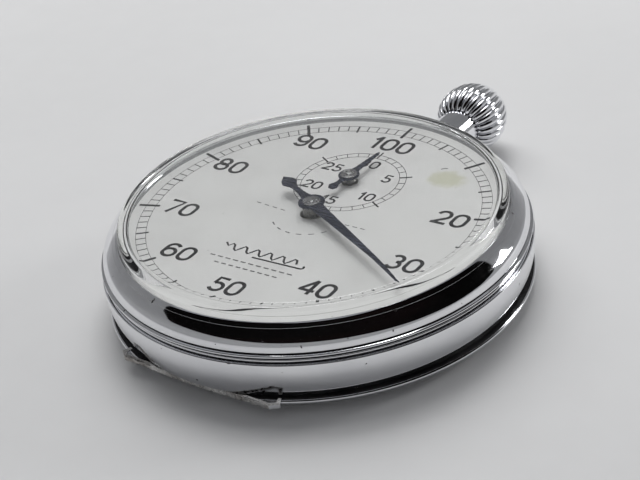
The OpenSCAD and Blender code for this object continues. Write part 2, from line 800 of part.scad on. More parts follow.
module reset_hammer() {
  face_c = axis_c + polar(heart_max + 0.4, ang(axis_c, axis_h));
  face_m = axis_m + polar(heart_max + 0.4, ang(axis_m, axis_h));
  color("silver") difference() {
    translate([0, 0, z_wind]) linear_extrude(wind_t) {
      translate(axis_h) circle(r = 1.05);
      bar(axis_h, axis_h + (face_c - axis_h) * 0.86, 1.1);
      bar(axis_h, axis_h + (face_m - axis_h) * 0.8, 1.1);
      bar(axis_h, axis_h + [2.2, 3.4], 0.8);
    }
    at(axis_h) disc(stud_post_r + run, 3, z_wind - 1);
  }
}

// Return springs of hammer and brake, with the studs that the levers turn on
module lever_springs() {
  feet = [[10.3, 5.4], [17.2, -1.9]];
  tips = [axis_h + [2.95, 3.2], axis_j + [1.15, -1.1]];
  color("steelblue") {
    for (i = [0, 1]) translate([0, 0, z_bridge - 0.35]) linear_extrude(i == 0 ? 0.35 : 0.3) {
      translate(feet[i]) circle(r = 0.6);
      taper(feet[i], tips[i], 0.4, 0.2);
    }
    for (p = [axis_h, axis_j]) at(p) {
      disc(stud_post_r, z_plate + plate_t * 0.5 - z_wind, z_wind);
      disc(0.7, 0.25, z_wind - 0.35);
      disc(stud_post_r, 0.2, z_wind - 0.1);
    }
  }
}

// ---------------------------------------------------------------- going train
module second_pinion() {
  color("silver") at(axis_s) pinion(second_pn, second_pp, ang(axis_s, axis_b) + 180 / second_pn, pivot_low,
    pivot_top, z_barrel - 0.1, 0.8, arbor_r);
}

module second_wheel() {
  color("goldenrod") at(axis_s, z_second) wheel(second_n, second_p, arbor_r, 0.25, ang(axis_s, axis_t));
}

module third_pinion() {
  color("silver") at(axis_t) pinion(third_pn, third_pp, ang(axis_t, axis_s) + 180 / third_pn, pivot_low,
    pivot_top, z_second - 0.25, 0.75, arbor_r);
}

module third_wheel() {
  color("goldenrod") at(axis_t, z_third) wheel(third_n, third_p, arbor_r, 0.25, ang(axis_t, axis_c));
}

// Sweep arbor with the fourth pinion: from the reset works, through the dial, to the hand
module sweep_arbor() {
  color("silver") pinion(fourth_pn, fourth_pp, ang(axis_c, axis_t) + 180 / fourth_pn, z_count - 0.1,
    z_dial + sweep_h + hand_t + 0.1, z_third - 0.25, 0.75, sweep_arbor_r);
}

module fourth_wheel() {
  color("goldenrod") at(axis_c, z_fourth)
    wheel(fourth_n, fourth_p, sweep_arbor_r, 0.22, ang(axis_c, axis_e));
}

module escape_pinion() {
  color("silver") at(axis_e) pinion(escape_pn, escape_pp, ang(axis_e, axis_c) + 180 / escape_pn, pivot_low,
    pivot_top, z_fourth - 0.25, 0.7, arbor_r);
}

module escape_wheel() {
  root = escape_r - 0.6;
  color("silver") at(axis_e, z_escape) linear_extrude(0.2) difference() {
    polygon([for (i = [0:escape_n - 1], k = [0:3])
      let (a = 360 * i / escape_n, d = [-2, 4, 9.5, 7][k], r = [root, escape_r - 0.04, escape_r, root][k])
      polar(r, a + d)]);
    spokes2d(4, arbor_r + 0.45, root - 0.3, 0.32);
    circle(r = arbor_r);
  }
}

module pallet_fork() {
  reach = balance_d - pin_orbit - pin_r - 0.08;
  dir = lever_deg;
  color("silver") difference() {
    union() {
      at(axis_p, z_escape - 0.05) linear_extrude(0.3) {
        circle(r = 0.55);
        for (s = [-1, 1]) taper([0, 0], polar(stone_d + 0.1, dir + 180 + s * stone_deg), 0.55, 0.42);
        taper([0, 0], polar(reach - 0.3, dir), 0.5, 0.36);
        rotate(dir) for (s = [-1, 1]) translate([reach - 0.45, s * 0.34 - 0.12]) square([0.45, 0.24]);
        rotate(dir) translate([reach - 0.6, -0.46]) square([0.2, 0.92]);
      }
      at(axis_p) disc(arbor_r, pivot_top - z_pallet_bridge - 0.05, z_pallet_bridge + 0.05);
    }
    pallet_stones_shape(0);
  }
}

// Stones stand clear of the wheel's tooth circle
module pallet_stones_shape(grow) {
  for (s = [-1, 1]) at(axis_p + polar(stone_d, lever_deg + 180 + s * stone_deg), z_escape - 0.05 - grow)
    rotate(lever_deg + 180 + s * 12) translate([-0.1, -0.12, 0]) cube([0.32, 0.24, 0.3 + 2 * grow]);
}

module pallet_stones() {
  color("crimson") pallet_stones_shape(0);
}

module balance_wheel() {
  rim_w = 0.75;
  color("gold") at(axis_o) {
    difference() {
      union() {
        disc(balance_r - 0.3, 0.8, z_rim, $fn = 96);
        for (i = [0:11]) rotate(30 * i + 15) translate([balance_r - 0.55, 0, z_rim + 0.4])
          rotate([0, 90, 0]) cylinder(r = 0.28, h = 0.55);
      }
      disc(balance_r - 0.3 - rim_w, 3, z_rim - 1);
    }
    difference() {
      for (i = [0, 1]) rotate(90 * i + 20) translate([-balance_r + 0.6, -0.32, z_rim + 0.25])
        cube([2 * balance_r - 1.2, 0.64, 0.3]);
      disc(staff_r, 3, z_rim - 1);
    }
  }
}

module balance_staff() {
  color("silver") at(axis_o) {
    disc(arbor_r, pivot_top - z_cock - 0.55, z_cock + 0.55);
    disc(staff_r, 1.5, z_rim - 0.3);
    disc(collet_r, z_rim - 0.3 - z_hair + 0.05, z_hair - 0.05);
  }
}

module roller() {
  color("silver") at(axis_o) difference() {
    disc(1.1, 0.3, z_roller);
    disc(arbor_r, 2, z_roller - 1);
  }
  color("crimson") at(axis_o + polar(pin_orbit, lever_deg + 180))
    disc(pin_r, z_escape - z_roller, z_roller + 0.3);
}

module hairspring() {
  color("steelblue") at(axis_o, z_hair) linear_extrude(0.22)
    spiral2d(collet_r + hair_w / 2, hair_r, 7, hair_w, 20, ang(axis_o, stud_p));
}

module hairspring_stud() {
  color("silver") at(stud_p) disc(stud_r, 1.5, z_cock - 0.1);
}

// Regulator index, clamped round a boss on the cock
module regulator() {
  dir = ang(axis_o, cock_foot) + 180;
  color("silver") at(axis_o, z_cock - 0.35) difference() {
    linear_extrude(0.28) {
      circle(r = boss_r + 0.55);
      taper([0, 0], polar(4.2, dir), 0.9, 0.3);
      taper([0, 0], polar(2.3, dir + 120), 0.8, 0.5);
    }
    disc(boss_r + run, 2, -1);
  }
}

// ---------------------------------------------------------------- counter and hands
module sweep_heart() {
  color("silver") {
    at(axis_c, z_wind) linear_extrude(wind_t - 0.05) difference() {
      heart2d(heart_min, heart_max, 90 - sweep_deg);
      circle(r = sweep_arbor_r);
    }
    // Finger that advances the counter once a turn
    at(axis_c, z_count) linear_extrude(count_t) difference() {
      union() {
        circle(r = 1);
        taper([0, 0], polar(finger_r, 90 - sweep_deg), 0.9, 0.3);
      }
      circle(r = sweep_arbor_r);
    }
    at(axis_c, z_count + count_t) difference() {
      cylinder(r = 0.8, h = z_wind - z_count - count_t);
      disc(sweep_arbor_r, 3, -1);
    }
  }
}

module sweep_pipe() {
  top = z_dial + sweep_h;
  color("dimgray") difference() {
    union() {
      disc(pipe_r, top - z_dial - 0.05, z_dial + 0.05);
      disc(1.03, 0.1, top + hand_t);
      disc(0.62, hand_t + 0.05, top);
    }
    disc(sweep_arbor_r, 5, z_dial - 1);
  }
}

module sweep_hand() {
  top = z_dial + sweep_h;
  color("#2b3350") translate([0, 0, top]) rotate(90 - sweep_deg) linear_extrude(hand_t) difference() {
    union() {
      circle(r = 1.55);
      taper([0, 0], [sweep_l, 0], 1.5, 0.16);
      taper([0, 0], [-4.7, 0], 1.5, 0.6);
      polygon([[-4.5, 0.3], [-5.6, 1], [-6.4, 0.75], [-7.3, 0], [-6.4, -0.75], [-5.6, -1], [-4.5, -0.3]]);
    }
    circle(r = 0.62);
  }
}

module minute_arbor() {
  top = z_dial + minute_h + hand_t + 0.1;
  color("silver") at(axis_m) disc(minute_arbor_r, top - z_count + 0.1, z_count - 0.1);
}

module minute_wheel() {
  color("goldenrod") at(axis_m, z_count) linear_extrude(count_t) difference() {
    polygon([for (i = [0:minute_n - 1], k = [0:1])
      let (a = 360 * i / minute_n)
      k == 0 ? polar(minute_tip, a) : polar(minute_tip - 0.4, a + 180 / minute_n)]);
    spokes2d(4, 0.95, minute_tip - 0.9, 0.5);
    circle(r = minute_arbor_r);
  }
}

module minute_heart() {
  color("silver") at(axis_m, z_wind) linear_extrude(wind_t - 0.05) difference() {
    heart2d(heart_min, heart_max, 90 - minute_deg);
    circle(r = minute_arbor_r);
  }
}

module minute_hand() {
  top = z_dial + minute_h;
  color("#2b3350") at(axis_m, top) rotate(90 - minute_deg) {
    linear_extrude(hand_t) difference() {
      union() {
        circle(r = 1.25);
        taper([0, 0], [minute_l, 0], 0.9, 0.3);
        taper([0, 0], [-2.6, 0], 0.9, 0.5);
        polygon([[-2.4, 0.25], [-3, 0.6], [-3.5, 0.35], [-3.5, -0.35], [-3, -0.6], [-2.4, -0.25]]);
      }
      circle(r = minute_arbor_r);
    }
    difference() {
      union() {
        disc(counter_pipe_r, minute_h - 0.05, 0.05 - minute_h);
        disc(0.95, 0.1, hand_t);
      }
      disc(minute_arbor_r, 5, -2);
    }
  }
}

module intermediate_wheel() {
  color("goldenrod") at(axis_i) {
    translate([0, 0, z_count]) linear_extrude(count_t) difference() {
      polygon([for (i = [0:middle_n - 1], k = [0:1])
        let (a = 360 * i / middle_n)
        k == 0 ? polar(middle_tip, a) : polar(middle_tip - 0.6, a + 180 / middle_n)]);
      circle(r = 0.25);
    }
    disc(0.25, z_bridge + 0.4 - z_count, z_count);
  }
}

back_cover();
case_band();
bezel();
crystal();
pendant_tube();
case_screws();
dial();
mainplate();
barrel_bridge();
train_bridge();
balance_cock();
pallet_bridge();
bridge_screws();
plate_jewels();
click();
click_spring();
barrel_drum();
barrel_cover();
barrel_arbor();
mainspring();
ratchet_wheel();
ratchet_screw();
crown_wheel();
crown_wheel_screw();
winding_pinion();
stem();
crown();
push_sleeve();
crown_spring();
operating_lever();
column_wheel();
column_post();
column_jumper();
brake_lever();
reset_hammer();
lever_springs();
second_wheel();
second_pinion();
third_wheel();
third_pinion();
fourth_wheel();
sweep_arbor();
escape_wheel();
escape_pinion();
sweep_heart();
sweep_pipe();
sweep_hand();
minute_arbor();
minute_wheel();
minute_heart();
minute_hand();
intermediate_wheel();
pallet_fork();
pallet_stones();
balance_wheel();
balance_staff();
roller();
hairspring();
hairspring_stud();
regulator();
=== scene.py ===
"""Mechanical pocket stopwatch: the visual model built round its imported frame.

The case, crown, crystal, dial print and hands are modelled here in edit mode
and replace or dress the frame's nodes; the movement keeps its own solids and
gets its finishes. Sizes in the classes are millimetres; meshes are in metres.
"""

from __future__ import annotations

import json
import logging
import math
from dataclasses import dataclass, field
from enum import Enum
from typing import Any, Sequence

import bpy
from mathutils import Matrix, Vector

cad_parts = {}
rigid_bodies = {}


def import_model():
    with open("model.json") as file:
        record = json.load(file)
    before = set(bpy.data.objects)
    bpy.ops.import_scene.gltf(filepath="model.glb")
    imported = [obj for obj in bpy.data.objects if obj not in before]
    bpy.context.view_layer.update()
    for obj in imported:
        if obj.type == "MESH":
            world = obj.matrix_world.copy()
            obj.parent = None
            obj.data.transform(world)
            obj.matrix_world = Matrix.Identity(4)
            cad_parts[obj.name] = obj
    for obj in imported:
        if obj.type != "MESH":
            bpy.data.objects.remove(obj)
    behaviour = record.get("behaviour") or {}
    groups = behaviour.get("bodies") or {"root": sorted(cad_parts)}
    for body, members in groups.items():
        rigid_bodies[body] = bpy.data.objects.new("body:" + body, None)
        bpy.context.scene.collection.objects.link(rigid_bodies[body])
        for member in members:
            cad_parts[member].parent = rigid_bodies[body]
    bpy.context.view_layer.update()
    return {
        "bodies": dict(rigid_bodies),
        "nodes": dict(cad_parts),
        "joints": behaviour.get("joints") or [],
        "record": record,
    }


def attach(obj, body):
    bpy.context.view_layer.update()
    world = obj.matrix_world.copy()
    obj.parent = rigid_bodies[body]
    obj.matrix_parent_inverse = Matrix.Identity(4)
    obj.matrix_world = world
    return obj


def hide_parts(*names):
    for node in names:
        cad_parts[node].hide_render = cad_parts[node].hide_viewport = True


LOG = logging.getLogger("stopwatch")
MM = 0.001
Point = tuple[float, float]
Colour = tuple[float, float, float]
Place = tuple[float, float, float]
Piece = bpy.types.Object
SMOOTH_DEG = 32.0  # edges sharper than this stay sharp
FULL_TURN = 2 * math.pi


# ------------------------------------------------------------------ finishes
class Grain(Enum):
    """How a finish's fine marks run over the surface."""

    POLISHED = "even, with faint cloudy wear"
    PITTED = "bright plate with small dark pits"
    BRUSHED = "straight grain along X"
    TURNED = "rings round the dial's axis"
    LACQUER = "soft grain of a sprayed film"


class NodeDesk:
    """A material's node tree, with short calls to add and join nodes."""

    def __init__(self, name: str) -> None:
        """Start a fresh material.

        Args:
            name: The material's name.
        """
        self.material = bpy.data.materials.new(name)
        self.material.use_nodes = True
        self.tree = self.material.node_tree
        self.tree.nodes.clear()

    def add(self, kind: str, **settings: Any) -> Any:
        """Add a node and set its properties and sockets.

        Args:
            kind: The node's type name without its ShaderNode prefix.
            **settings: Properties by name, or socket values by name.

        Returns:
            The new node.
        """
        node = self.tree.nodes.new(f"ShaderNode{kind}")
        for key, value in settings.items():
            if hasattr(node, key):
                setattr(node, key, value)
            else:
                node.inputs[key.replace("_", " ")].default_value = value
        return node

    def link(self, source: Any, target: Any) -> None:
        """Join an output socket to an input socket."""
        self.tree.links.new(source, target)

    def ramp(self, source: Any, low: float, high: float, out_low: float, out_high: float) -> Any:
        """Map a range of values to another, with a smooth step.

        Args:
            source: The value's socket.
            low: Value that gives out_low.
            high: Value that gives out_high.
            out_low: Result at and below low.
            out_high: Result at and above high.

        Returns:
            The result's socket.
        """
        node = self.add("MapRange", interpolation_type="SMOOTHSTEP")
        for name, value in (("From Min", low), ("From Max", high), ("To Min", out_low), ("To Max", out_high)):
            node.inputs[name].default_value = value
        self.link(source, node.inputs["Value"])
        return node.outputs["Result"]

    def noise(self, coords: Any, scale: float, detail: float = 4.0) -> Any:
        """Return the socket of a noise pattern on coords."""
        node = self.add("TexNoise")
        node.inputs["Scale"].default_value = scale
        node.inputs["Detail"].default_value = detail
        self.link(coords, node.inputs["Vector"])
        return node.outputs["Fac"]

    def blend(self, factor: Any, first: Any, second: Any) -> Any:
        """Mix two colours by a factor.

        Args:
            factor: Socket of the share of the second colour.
            first: A colour, or a socket.
            second: A colour, or a socket.

        Returns:
            The mixed colour's socket.
        """
        node = self.add("Mix", data_type="RGBA")
        self.link(factor, node.inputs[0])
        for slot, value in ((6, first), (7, second)):
            if isinstance(value, tuple):
                node.inputs[slot].default_value = (*value, 1.0)
            else:
                self.link(value, node.inputs[slot])
        return node.outputs[2]

    def close(self, shader: Any) -> bpy.types.Material:
        """Join the shader to the output and return the material."""
        output = self.add("OutputMaterial")
        self.link(shader, output.inputs["Surface"])
        return self.material


@dataclass(frozen=True)
class Finish:
    """A solid surface finish, read on Object coordinates."""

    name: str
    colour: Colour
    worn: Colour
    metallic: float
    rough_low: float
    rough_high: float
    grain: Grain = Grain.POLISHED
    fine: float = 900.0
    bump: float = 0.05
    gloss: float = 0.5

    def material(self) -> bpy.types.Material:
        """Return the finish's material, made once."""
        made = bpy.data.materials.get(self.name)
        if made:
            return made
        desk = NodeDesk(self.name)
        coords = desk.add("TexCoord").outputs["Object"]
        streaks = self._streaks(desk, coords)
        cloud = desk.noise(coords, self.fine * 0.22, 3.0)
        shader = desk.add("BsdfPrincipled")
        shader.inputs["Metallic"].default_value = self.metallic
        shader.inputs["Specular IOR Level"].default_value = self.gloss
        colour = desk.blend(desk.ramp(cloud, 0.35, 0.7, 0.0, 1.0), self.colour, self.worn)
        rough = desk.ramp(streaks, 0.3, 0.72, self.rough_low, self.rough_high)
        if self.grain is Grain.PITTED:
            pits = desk.noise(coords, self.fine * 1.6, 2.0)
            spots = desk.ramp(pits, 0.72, 0.76, 0.0, 1.0)
            colour = desk.blend(spots, colour, (0.10, 0.09, 0.09))
            rough = self._roughen(desk, rough, spots)
        desk.link(colour, shader.inputs["Base Color"])
        desk.link(rough, shader.inputs["Roughness"])
        relief = desk.add("Bump")
        relief.inputs["Strength"].default_value = self.bump
        relief.inputs["Distance"].default_value = 0.02 * MM
        desk.link(streaks, relief.inputs["Height"])
        desk.link(relief.outputs["Normal"], shader.inputs["Normal"])
        return desk.close(shader.outputs["BSDF"])

    def _roughen(self, desk: NodeDesk, rough: Any, spots: Any) -> Any:
        """Return roughness raised where the spots are."""
        add = desk.add("Math", operation="MULTIPLY_ADD")
        desk.link(spots, add.inputs[0])
        add.inputs[1].default_value = 0.4
        desk.link(rough, add.inputs[2])
        return add.outputs["Value"]

    def _streaks(self, desk: NodeDesk, coords: Any) -> Any:
        """Return the socket of the fine marks that the grain asks for."""
        if self.grain is Grain.TURNED:
            apart = desk.add("SeparateXYZ")
            desk.link(coords, apart.inputs["Vector"])
            flat = desk.add("CombineXYZ")
            desk.link(apart.outputs["X"], flat.inputs["X"])
            desk.link(apart.outputs["Y"], flat.inputs["Y"])
            reach = desk.add("VectorMath", operation="LENGTH")
            desk.link(flat.outputs["Vector"], reach.inputs[0])
            rings = desk.add("TexNoise", noise_dimensions="1D")
            rings.inputs["Scale"].default_value = self.fine * 6.0
            desk.link(reach.outputs["Value"], rings.inputs["W"])
            return rings.outputs["Fac"]
        stretch = desk.add("Mapping")
        scale = (0.06, 1.0, 1.0) if self.grain is Grain.BRUSHED else (1.0, 1.0, 1.0)
        stretch.inputs["Scale"].default_value = scale
        desk.link(coords, stretch.inputs["Vector"])
        dense = self.fine * (4.0 if self.grain in (Grain.BRUSHED, Grain.LACQUER) else 1.0)
        return desk.noise(stretch.outputs["Vector"], dense, 5.0)


@dataclass(frozen=True)
class ClearFinish:
    """Clear acrylic or ruby: it bends what is seen, and lets the lamps through."""

    name: str
    colour: Colour
    ior: float
    rough: float = 0.0
    scuffs: float = 0.25
    gloss: float = 0.5

    def material(self) -> bpy.types.Material:
        """Return the finish's material, made once."""
        made = bpy.data.materials.get(self.name)
        if made:
            return made
        desk = NodeDesk(self.name)
        coords = desk.add("TexCoord").outputs["Object"]
        shader = desk.add("BsdfPrincipled")
        shader.inputs["Base Color"].default_value = (*self.colour, 1.0)
        shader.inputs["IOR"].default_value = self.ior
        shader.inputs["Transmission Weight"].default_value = 1.0
        shader.inputs["Specular IOR Level"].default_value = self.gloss
        marks = desk.noise(coords, 260.0, 6.0)
        scuffed = desk.ramp(marks, 0.5, 0.75, self.rough, self.rough + 0.02 * self.scuffs)
        desk.link(scuffed, shader.inputs["Roughness"])
        clear = desk.add("BsdfTransparent")
        clear.inputs["Color"].default_value = (*(0.5 + 0.5 * c for c in self.colour), 1.0)
        path = desk.add("LightPath")
        mix = desk.add("MixShader")
        desk.link(path.outputs["Is Shadow Ray"], mix.inputs[0])
        desk.link(shader.outputs["BSDF"], mix.inputs[1])
        desk.link(clear.outputs["BSDF"], mix.inputs[2])
        return desk.close(mix.outputs["Shader"])


@dataclass(frozen=True)
class DialFinish:
    """Silver-white lacquer, with one rubbed, yellowed patch where a numeral has gone."""

    name: str = "dial_lacquer"
    colour: Colour = (0.535, 0.535, 0.53)
    shade: Colour = (0.495, 0.495, 0.49)
    patch: Colour = (0.42, 0.42, 0.32)
    patch_at: Point = (10.35, 12.4)
    patch_half: Point = (2.6, 1.9)

    def material(self) -> bpy.types.Material:
        """Return the dial's material, made once."""
        made = bpy.data.materials.get(self.name)
        if made:
            return made
        desk = NodeDesk(self.name)
        coords = desk.add("TexCoord").outputs["Object"]
        grain = desk.noise(coords, 5200.0, 3.0)
        cloud = desk.noise(coords, 140.0, 4.0)
        base = desk.blend(desk.ramp(cloud, 0.4, 0.75, 0.0, 1.0), self.colour, self.shade)
        specks = desk.ramp(desk.noise(coords, 1500.0, 1.0), 0.775, 0.79, 0.0, 1.0)
        base = desk.blend(specks, base, (0.32, 0.32, 0.32))
        rubbed = self._patch(desk, coords)
        colour = desk.blend(rubbed, base, self.patch)
        shader = desk.add("BsdfPrincipled")
        shader.inputs["Metallic"].default_value = 0.0
        desk.link(colour, shader.inputs["Base Color"])
        desk.link(desk.ramp(grain, 0.3, 0.7, 0.42, 0.56), shader.inputs["Roughness"])
        relief = desk.add("Bump")
        relief.inputs["Strength"].default_value = 0.12
        relief.inputs["Distance"].default_value = 0.01 * MM
        desk.link(grain, relief.inputs["Height"])
        desk.link(relief.outputs["Normal"], shader.inputs["Normal"])
        return desk.close(shader.outputs["BSDF"])

    def _patch(self, desk: NodeDesk, coords: Any) -> Any:
        """Return the socket of the rubbed patch's strength, from 0 to 1."""
        centre = desk.add("Mapping")
        half = (self.patch_half[0] * MM, self.patch_half[1] * MM)
        centre.vector_type = "POINT"
        centre.inputs["Scale"].default_value = (1 / half[0], 1 / half[1], 0.0)
        place = (-self.patch_at[0] * MM / half[0], -self.patch_at[1] * MM / half[1], 0.0)
        centre.inputs["Location"].default_value = place
        desk.link(coords, centre.inputs["Vector"])
        reach = desk.add("VectorMath", operation="LENGTH")
        desk.link(centre.outputs["Vector"], reach.inputs[0])
        ragged = desk.add("Math", operation="MULTIPLY_ADD")
        desk.link(desk.noise(coords, 1100.0, 6.0), ragged.inputs[0])
        ragged.inputs[1].default_value = 0.9
        desk.link(reach.outputs["Value"], ragged.inputs[2])
        return desk.ramp(ragged.outputs["Value"], 0.95, 1.65, 0.85, 0.0)


CHROME = Finish(
    "chrome_plate", (0.86, 0.865, 0.885), (0.80, 0.805, 0.83),
    1.0, 0.035, 0.075, Grain.PITTED, 700.0, 0.03)
# Painted shade: a near-black film for the faces inside the case's grooves and seams, standing in for the
# shade that falls there.
GROOVE_SHADE = Finish(
    "painted_groove_shade", (0.008, 0.007, 0.008), (0.03, 0.028, 0.03),
    0.0, 0.45, 0.7, Grain.LACQUER, 900.0, 0.2, gloss=0.25)
BARE_EDGE = Finish(
    "bare_edge_metal", (0.78, 0.77, 0.75), (0.34, 0.32, 0.30),
    1.0, 0.18, 0.45, Grain.PITTED, 1600.0, 0.4)
INK = Finish(
    "dial_ink", (0.010, 0.010, 0.012), (0.03, 0.03, 0.032),
    0.0, 0.45, 0.7, Grain.LACQUER, 1500.0, 0.1, gloss=0.1)
FAINT_INK = Finish(
    "faint_ink", (0.05, 0.05, 0.052), (0.11, 0.11, 0.112),
    0.0, 0.5, 0.7, Grain.LACQUER, 1500.0, 0.1)
BLUE_HAND = Finish(
    "blue_black_hand", (0.030, 0.035, 0.058), (0.055, 0.062, 0.092),
    0.85, 0.20, 0.34, Grain.BRUSHED, 800.0, 0.08)
HUB_STEEL = Finish(
    "turned_hub_steel", (0.42, 0.42, 0.42), (0.30, 0.30, 0.31),
    1.0, 0.16, 0.32, Grain.POLISHED, 1500.0, 0.08)
PIPE_STEEL = Finish(
    "grey_pipe_steel", (0.30, 0.30, 0.29), (0.20, 0.20, 0.19),
    1.0, 0.22, 0.4, Grain.POLISHED, 1500.0, 0.1)
STEEL = Finish(
    "polished_steel", (0.62, 0.63, 0.65), (0.52, 0.53, 0.55),
    1.0, 0.10, 0.22, Grain.BRUSHED, 900.0, 0.08)
BLUED = Finish(
    "blued_spring_steel", (0.03, 0.06, 0.22), (0.05, 0.08, 0.30),
    1.0, 0.14, 0.26, Grain.POLISHED, 1200.0, 0.05)
NICKEL = Finish(
    "grained_nickel", (0.66, 0.64, 0.60), (0.58, 0.56, 0.52),
    1.0, 0.22, 0.36, Grain.BRUSHED, 700.0, 0.12)
GILT = Finish(
    "gilt_brass", (0.72, 0.50, 0.19), (0.62, 0.42, 0.15),
    1.0, 0.16, 0.30, Grain.TURNED, 900.0, 0.10)
PAPER = Finish(
    "pale_paper", (0.68, 0.68, 0.68), (0.65, 0.65, 0.65),
    0.0, 0.6, 0.8, Grain.LACQUER, 60.0, 0.0)
DARK_CARD = Finish(
    "dark_card", (0.003, 0.003, 0.003), (0.006, 0.004, 0.004),
    0.0, 0.9, 0.95, Grain.LACQUER, 30.0, 0.0, gloss=0.0)
ACRYLIC = ClearFinish("clear_acrylic", (0.985, 0.99, 0.985), 1.49, gloss=0.22)
RUBY = ClearFinish("ruby_stone", (0.62, 0.03, 0.08), 1.76, 0.02)


# ------------------------------------------------------------------ modelling
class Axis(Enum):
    """The axis a round piece is turned about: its direction."""

    DIAL = (0.0, 0.0, 1.0)
    STEM = (0.0, 1.0, 0.0)


@dataclass(frozen=True)
class Levels:
    """Places in millimetres and hand angles in degrees that the sub-assemblies share."""

    dial: float = 10.0
    stem: float = 4.87
    counter_y: float = 7.63
    sweep_deg: float = 118.6
    minute_deg: float = 5.0


LEVELS = Levels()


class Bench:
    """Edit-mode steps that the sub-assemblies share. Sizes are millimetres."""

    @staticmethod
    def clear() -> None:
        """Leave edit mode and deselect every object."""
        if bpy.context.object and bpy.context.object.mode != "OBJECT":
            bpy.ops.object.mode_set(mode="OBJECT")
        bpy.ops.object.select_all(action="DESELECT")

    @staticmethod
    def pick(piece: Piece) -> None:
        """Make one object the only one selected, and active."""
        Bench.clear()
        piece.select_set(True)
        bpy.context.view_layer.objects.active = piece

    @staticmethod
    def edit(piece: Piece) -> None:
        """Enter edit mode on one object with its whole mesh selected."""
        Bench.pick(piece)
        bpy.ops.object.mode_set(mode="EDIT")
        bpy.ops.mesh.select_all(action="SELECT")

    @staticmethod
    def done(piece: Piece, smooth: float = SMOOTH_DEG) -> Piece:
        """Merge doubles, turn faces outwards and shade smooth below an angle.

        Args:
            piece: The mesh object.
            smooth: Edges sharper than this many degrees stay sharp.

        Returns:
            The same object.
        """
        Bench.edit(piece)
        bpy.ops.mesh.remove_doubles(threshold=1e-6)
        bpy.ops.mesh.normals_make_consistent(inside=False)
        bpy.ops.object.mode_set(mode="OBJECT")
        bpy.ops.object.shade_smooth_by_angle(angle=math.radians(smooth))
        return piece

    @staticmethod
    def thread(name: str, points: Sequence[Sequence[float]]) -> Piece:
        """Draw a chain of edges by extruding one corner point after point.

        Args:
            name: The new object's name.
            points: The chain's points, in millimetres.

        Returns:
            The object, in edit mode.
        """
        Bench.clear()
        last = Vector(points[0]) * MM
        bpy.ops.mesh.primitive_plane_add(size=MM, location=last)
        piece = bpy.context.object
        piece.name = piece.data.name = name
        bpy.ops.object.transform_apply(location=True, rotation=True, scale=True)
        bpy.ops.object.mode_set(mode="EDIT")
        bpy.ops.mesh.select_all(action="SELECT")
        bpy.ops.mesh.merge(type="CENTER")
        for point in points[1:]:
            here = Vector(point) * MM
            bpy.ops.mesh.extrude_vertices_move(TRANSFORM_OT_translate={"value": here - last})
            last = here
        return piece

    @staticmethod
    def turned(
        name: str,
        profile: Sequence[Point],
        steps: int = 192,
        axis: Axis = Axis.DIAL,
        centre: Point = (0.0, 0.0),
        closed: bool = True,
        smooth: float = SMOOTH_DEG,
    ) -> Piece:
        """Spin a profile of radius and height into a round piece.

        Args:
            name: The new object's name.
            profile: Points as radius and distance along the axis.
            steps: Faces round the piece.
            axis: The axis that the piece is turned about.
            centre: The axis's place in X and Y for Axis.DIAL.
            closed: Whether the last point joins the first.
            smooth: Edges sharper than this many degrees stay sharp.

        Returns:
            The finished object.
        """
        row = list(profile) + ([profile[0]] if closed else [])
        if axis is Axis.DIAL:
            points = [(centre[0] + r, centre[1], h) for r, h in row]
            middle = (centre[0] * MM, centre[1] * MM, 0.0)
        else:
            points = [(r, h, LEVELS.stem) for r, h in row]
            middle = (0.0, 0.0, LEVELS.stem * MM)
        piece = Bench.thread(name, points)
        bpy.ops.mesh.select_all(action="SELECT")
        bpy.ops.mesh.spin(steps=steps, angle=FULL_TURN, center=middle, axis=axis.value)
        return Bench.done(piece, smooth)

    @staticmethod
    def plate(name: str, outline: Sequence[Point], low: float, thick: float) -> Piece:
        """Fill an outline and raise it into a flat plate.

        Args:
            name: The new object's name.
            outline: Corner points in X and Y.
            low: Height of the plate's lower face.
            thick: Thickness of the plate.

        Returns:
            The finished object.
        """
        piece = Bench.thread(name, [(x, y, low) for x, y in outline])
        bpy.ops.mesh.select_all(action="SELECT")
        bpy.ops.mesh.edge_face_add()
        bpy.ops.mesh.extrude_region_move(TRANSFORM_OT_translate={"value": (0.0, 0.0, thick * MM)})
        return Bench.done(piece)

    @staticmethod
    def ringed(
        piece: Piece,
        count: int,
        turn: float,
        axis: Axis = Axis.DIAL,
        centre: Point = (0.0, 0.0),
    ) -> Piece:
        """Copy a mesh round an axis, in steps of one angle.

        Args:
            piece: The object to copy within.
            count: Number of places, the first one included.
            turn: Degrees from one place to the next.
            axis: The axis.
            centre: The axis's place in X and Y for Axis.DIAL.

        Returns:
            The same object.
        """
        Bench.edit(piece)
        on_dial = axis is Axis.DIAL
        middle = (centre[0] * MM, centre[1] * MM, 0.0) if on_dial else (0.0, 0.0, LEVELS.stem * MM)
        bpy.ops.mesh.spin(
            steps=count - 1, dupli=True, angle=math.radians(turn * (count - 1)), use_auto_merge=False,
            center=middle, axis=axis.value,
        )
        bpy.ops.object.mode_set(mode="OBJECT")
        return piece

    @staticmethod
    def bevelled(piece: Piece, width: float, segments: int = 2, angle: float = 35.0) -> Piece:
        """Round the sharp edges with an applied bevel.

        Args:
            piece: The object.
            width: Width of the bevel.
            segments: Faces across the bevel.
            angle: Edges sharper than this many degrees are bevelled.

        Returns:
            The same object.
        """
        Bench.pick(piece)
        bpy.ops.object.modifier_add(type="BEVEL")
        bevel = piece.modifiers[-1]
        bevel.width = width * MM
        bevel.segments = segments
        bevel.limit_method = "ANGLE"
        bevel.angle_limit = math.radians(angle)
        bevel.harden_normals = False
        bpy.ops.object.modifier_apply(modifier=bevel.name)
        bpy.ops.object.shade_smooth_by_angle(angle=math.radians(SMOOTH_DEG))
        return piece

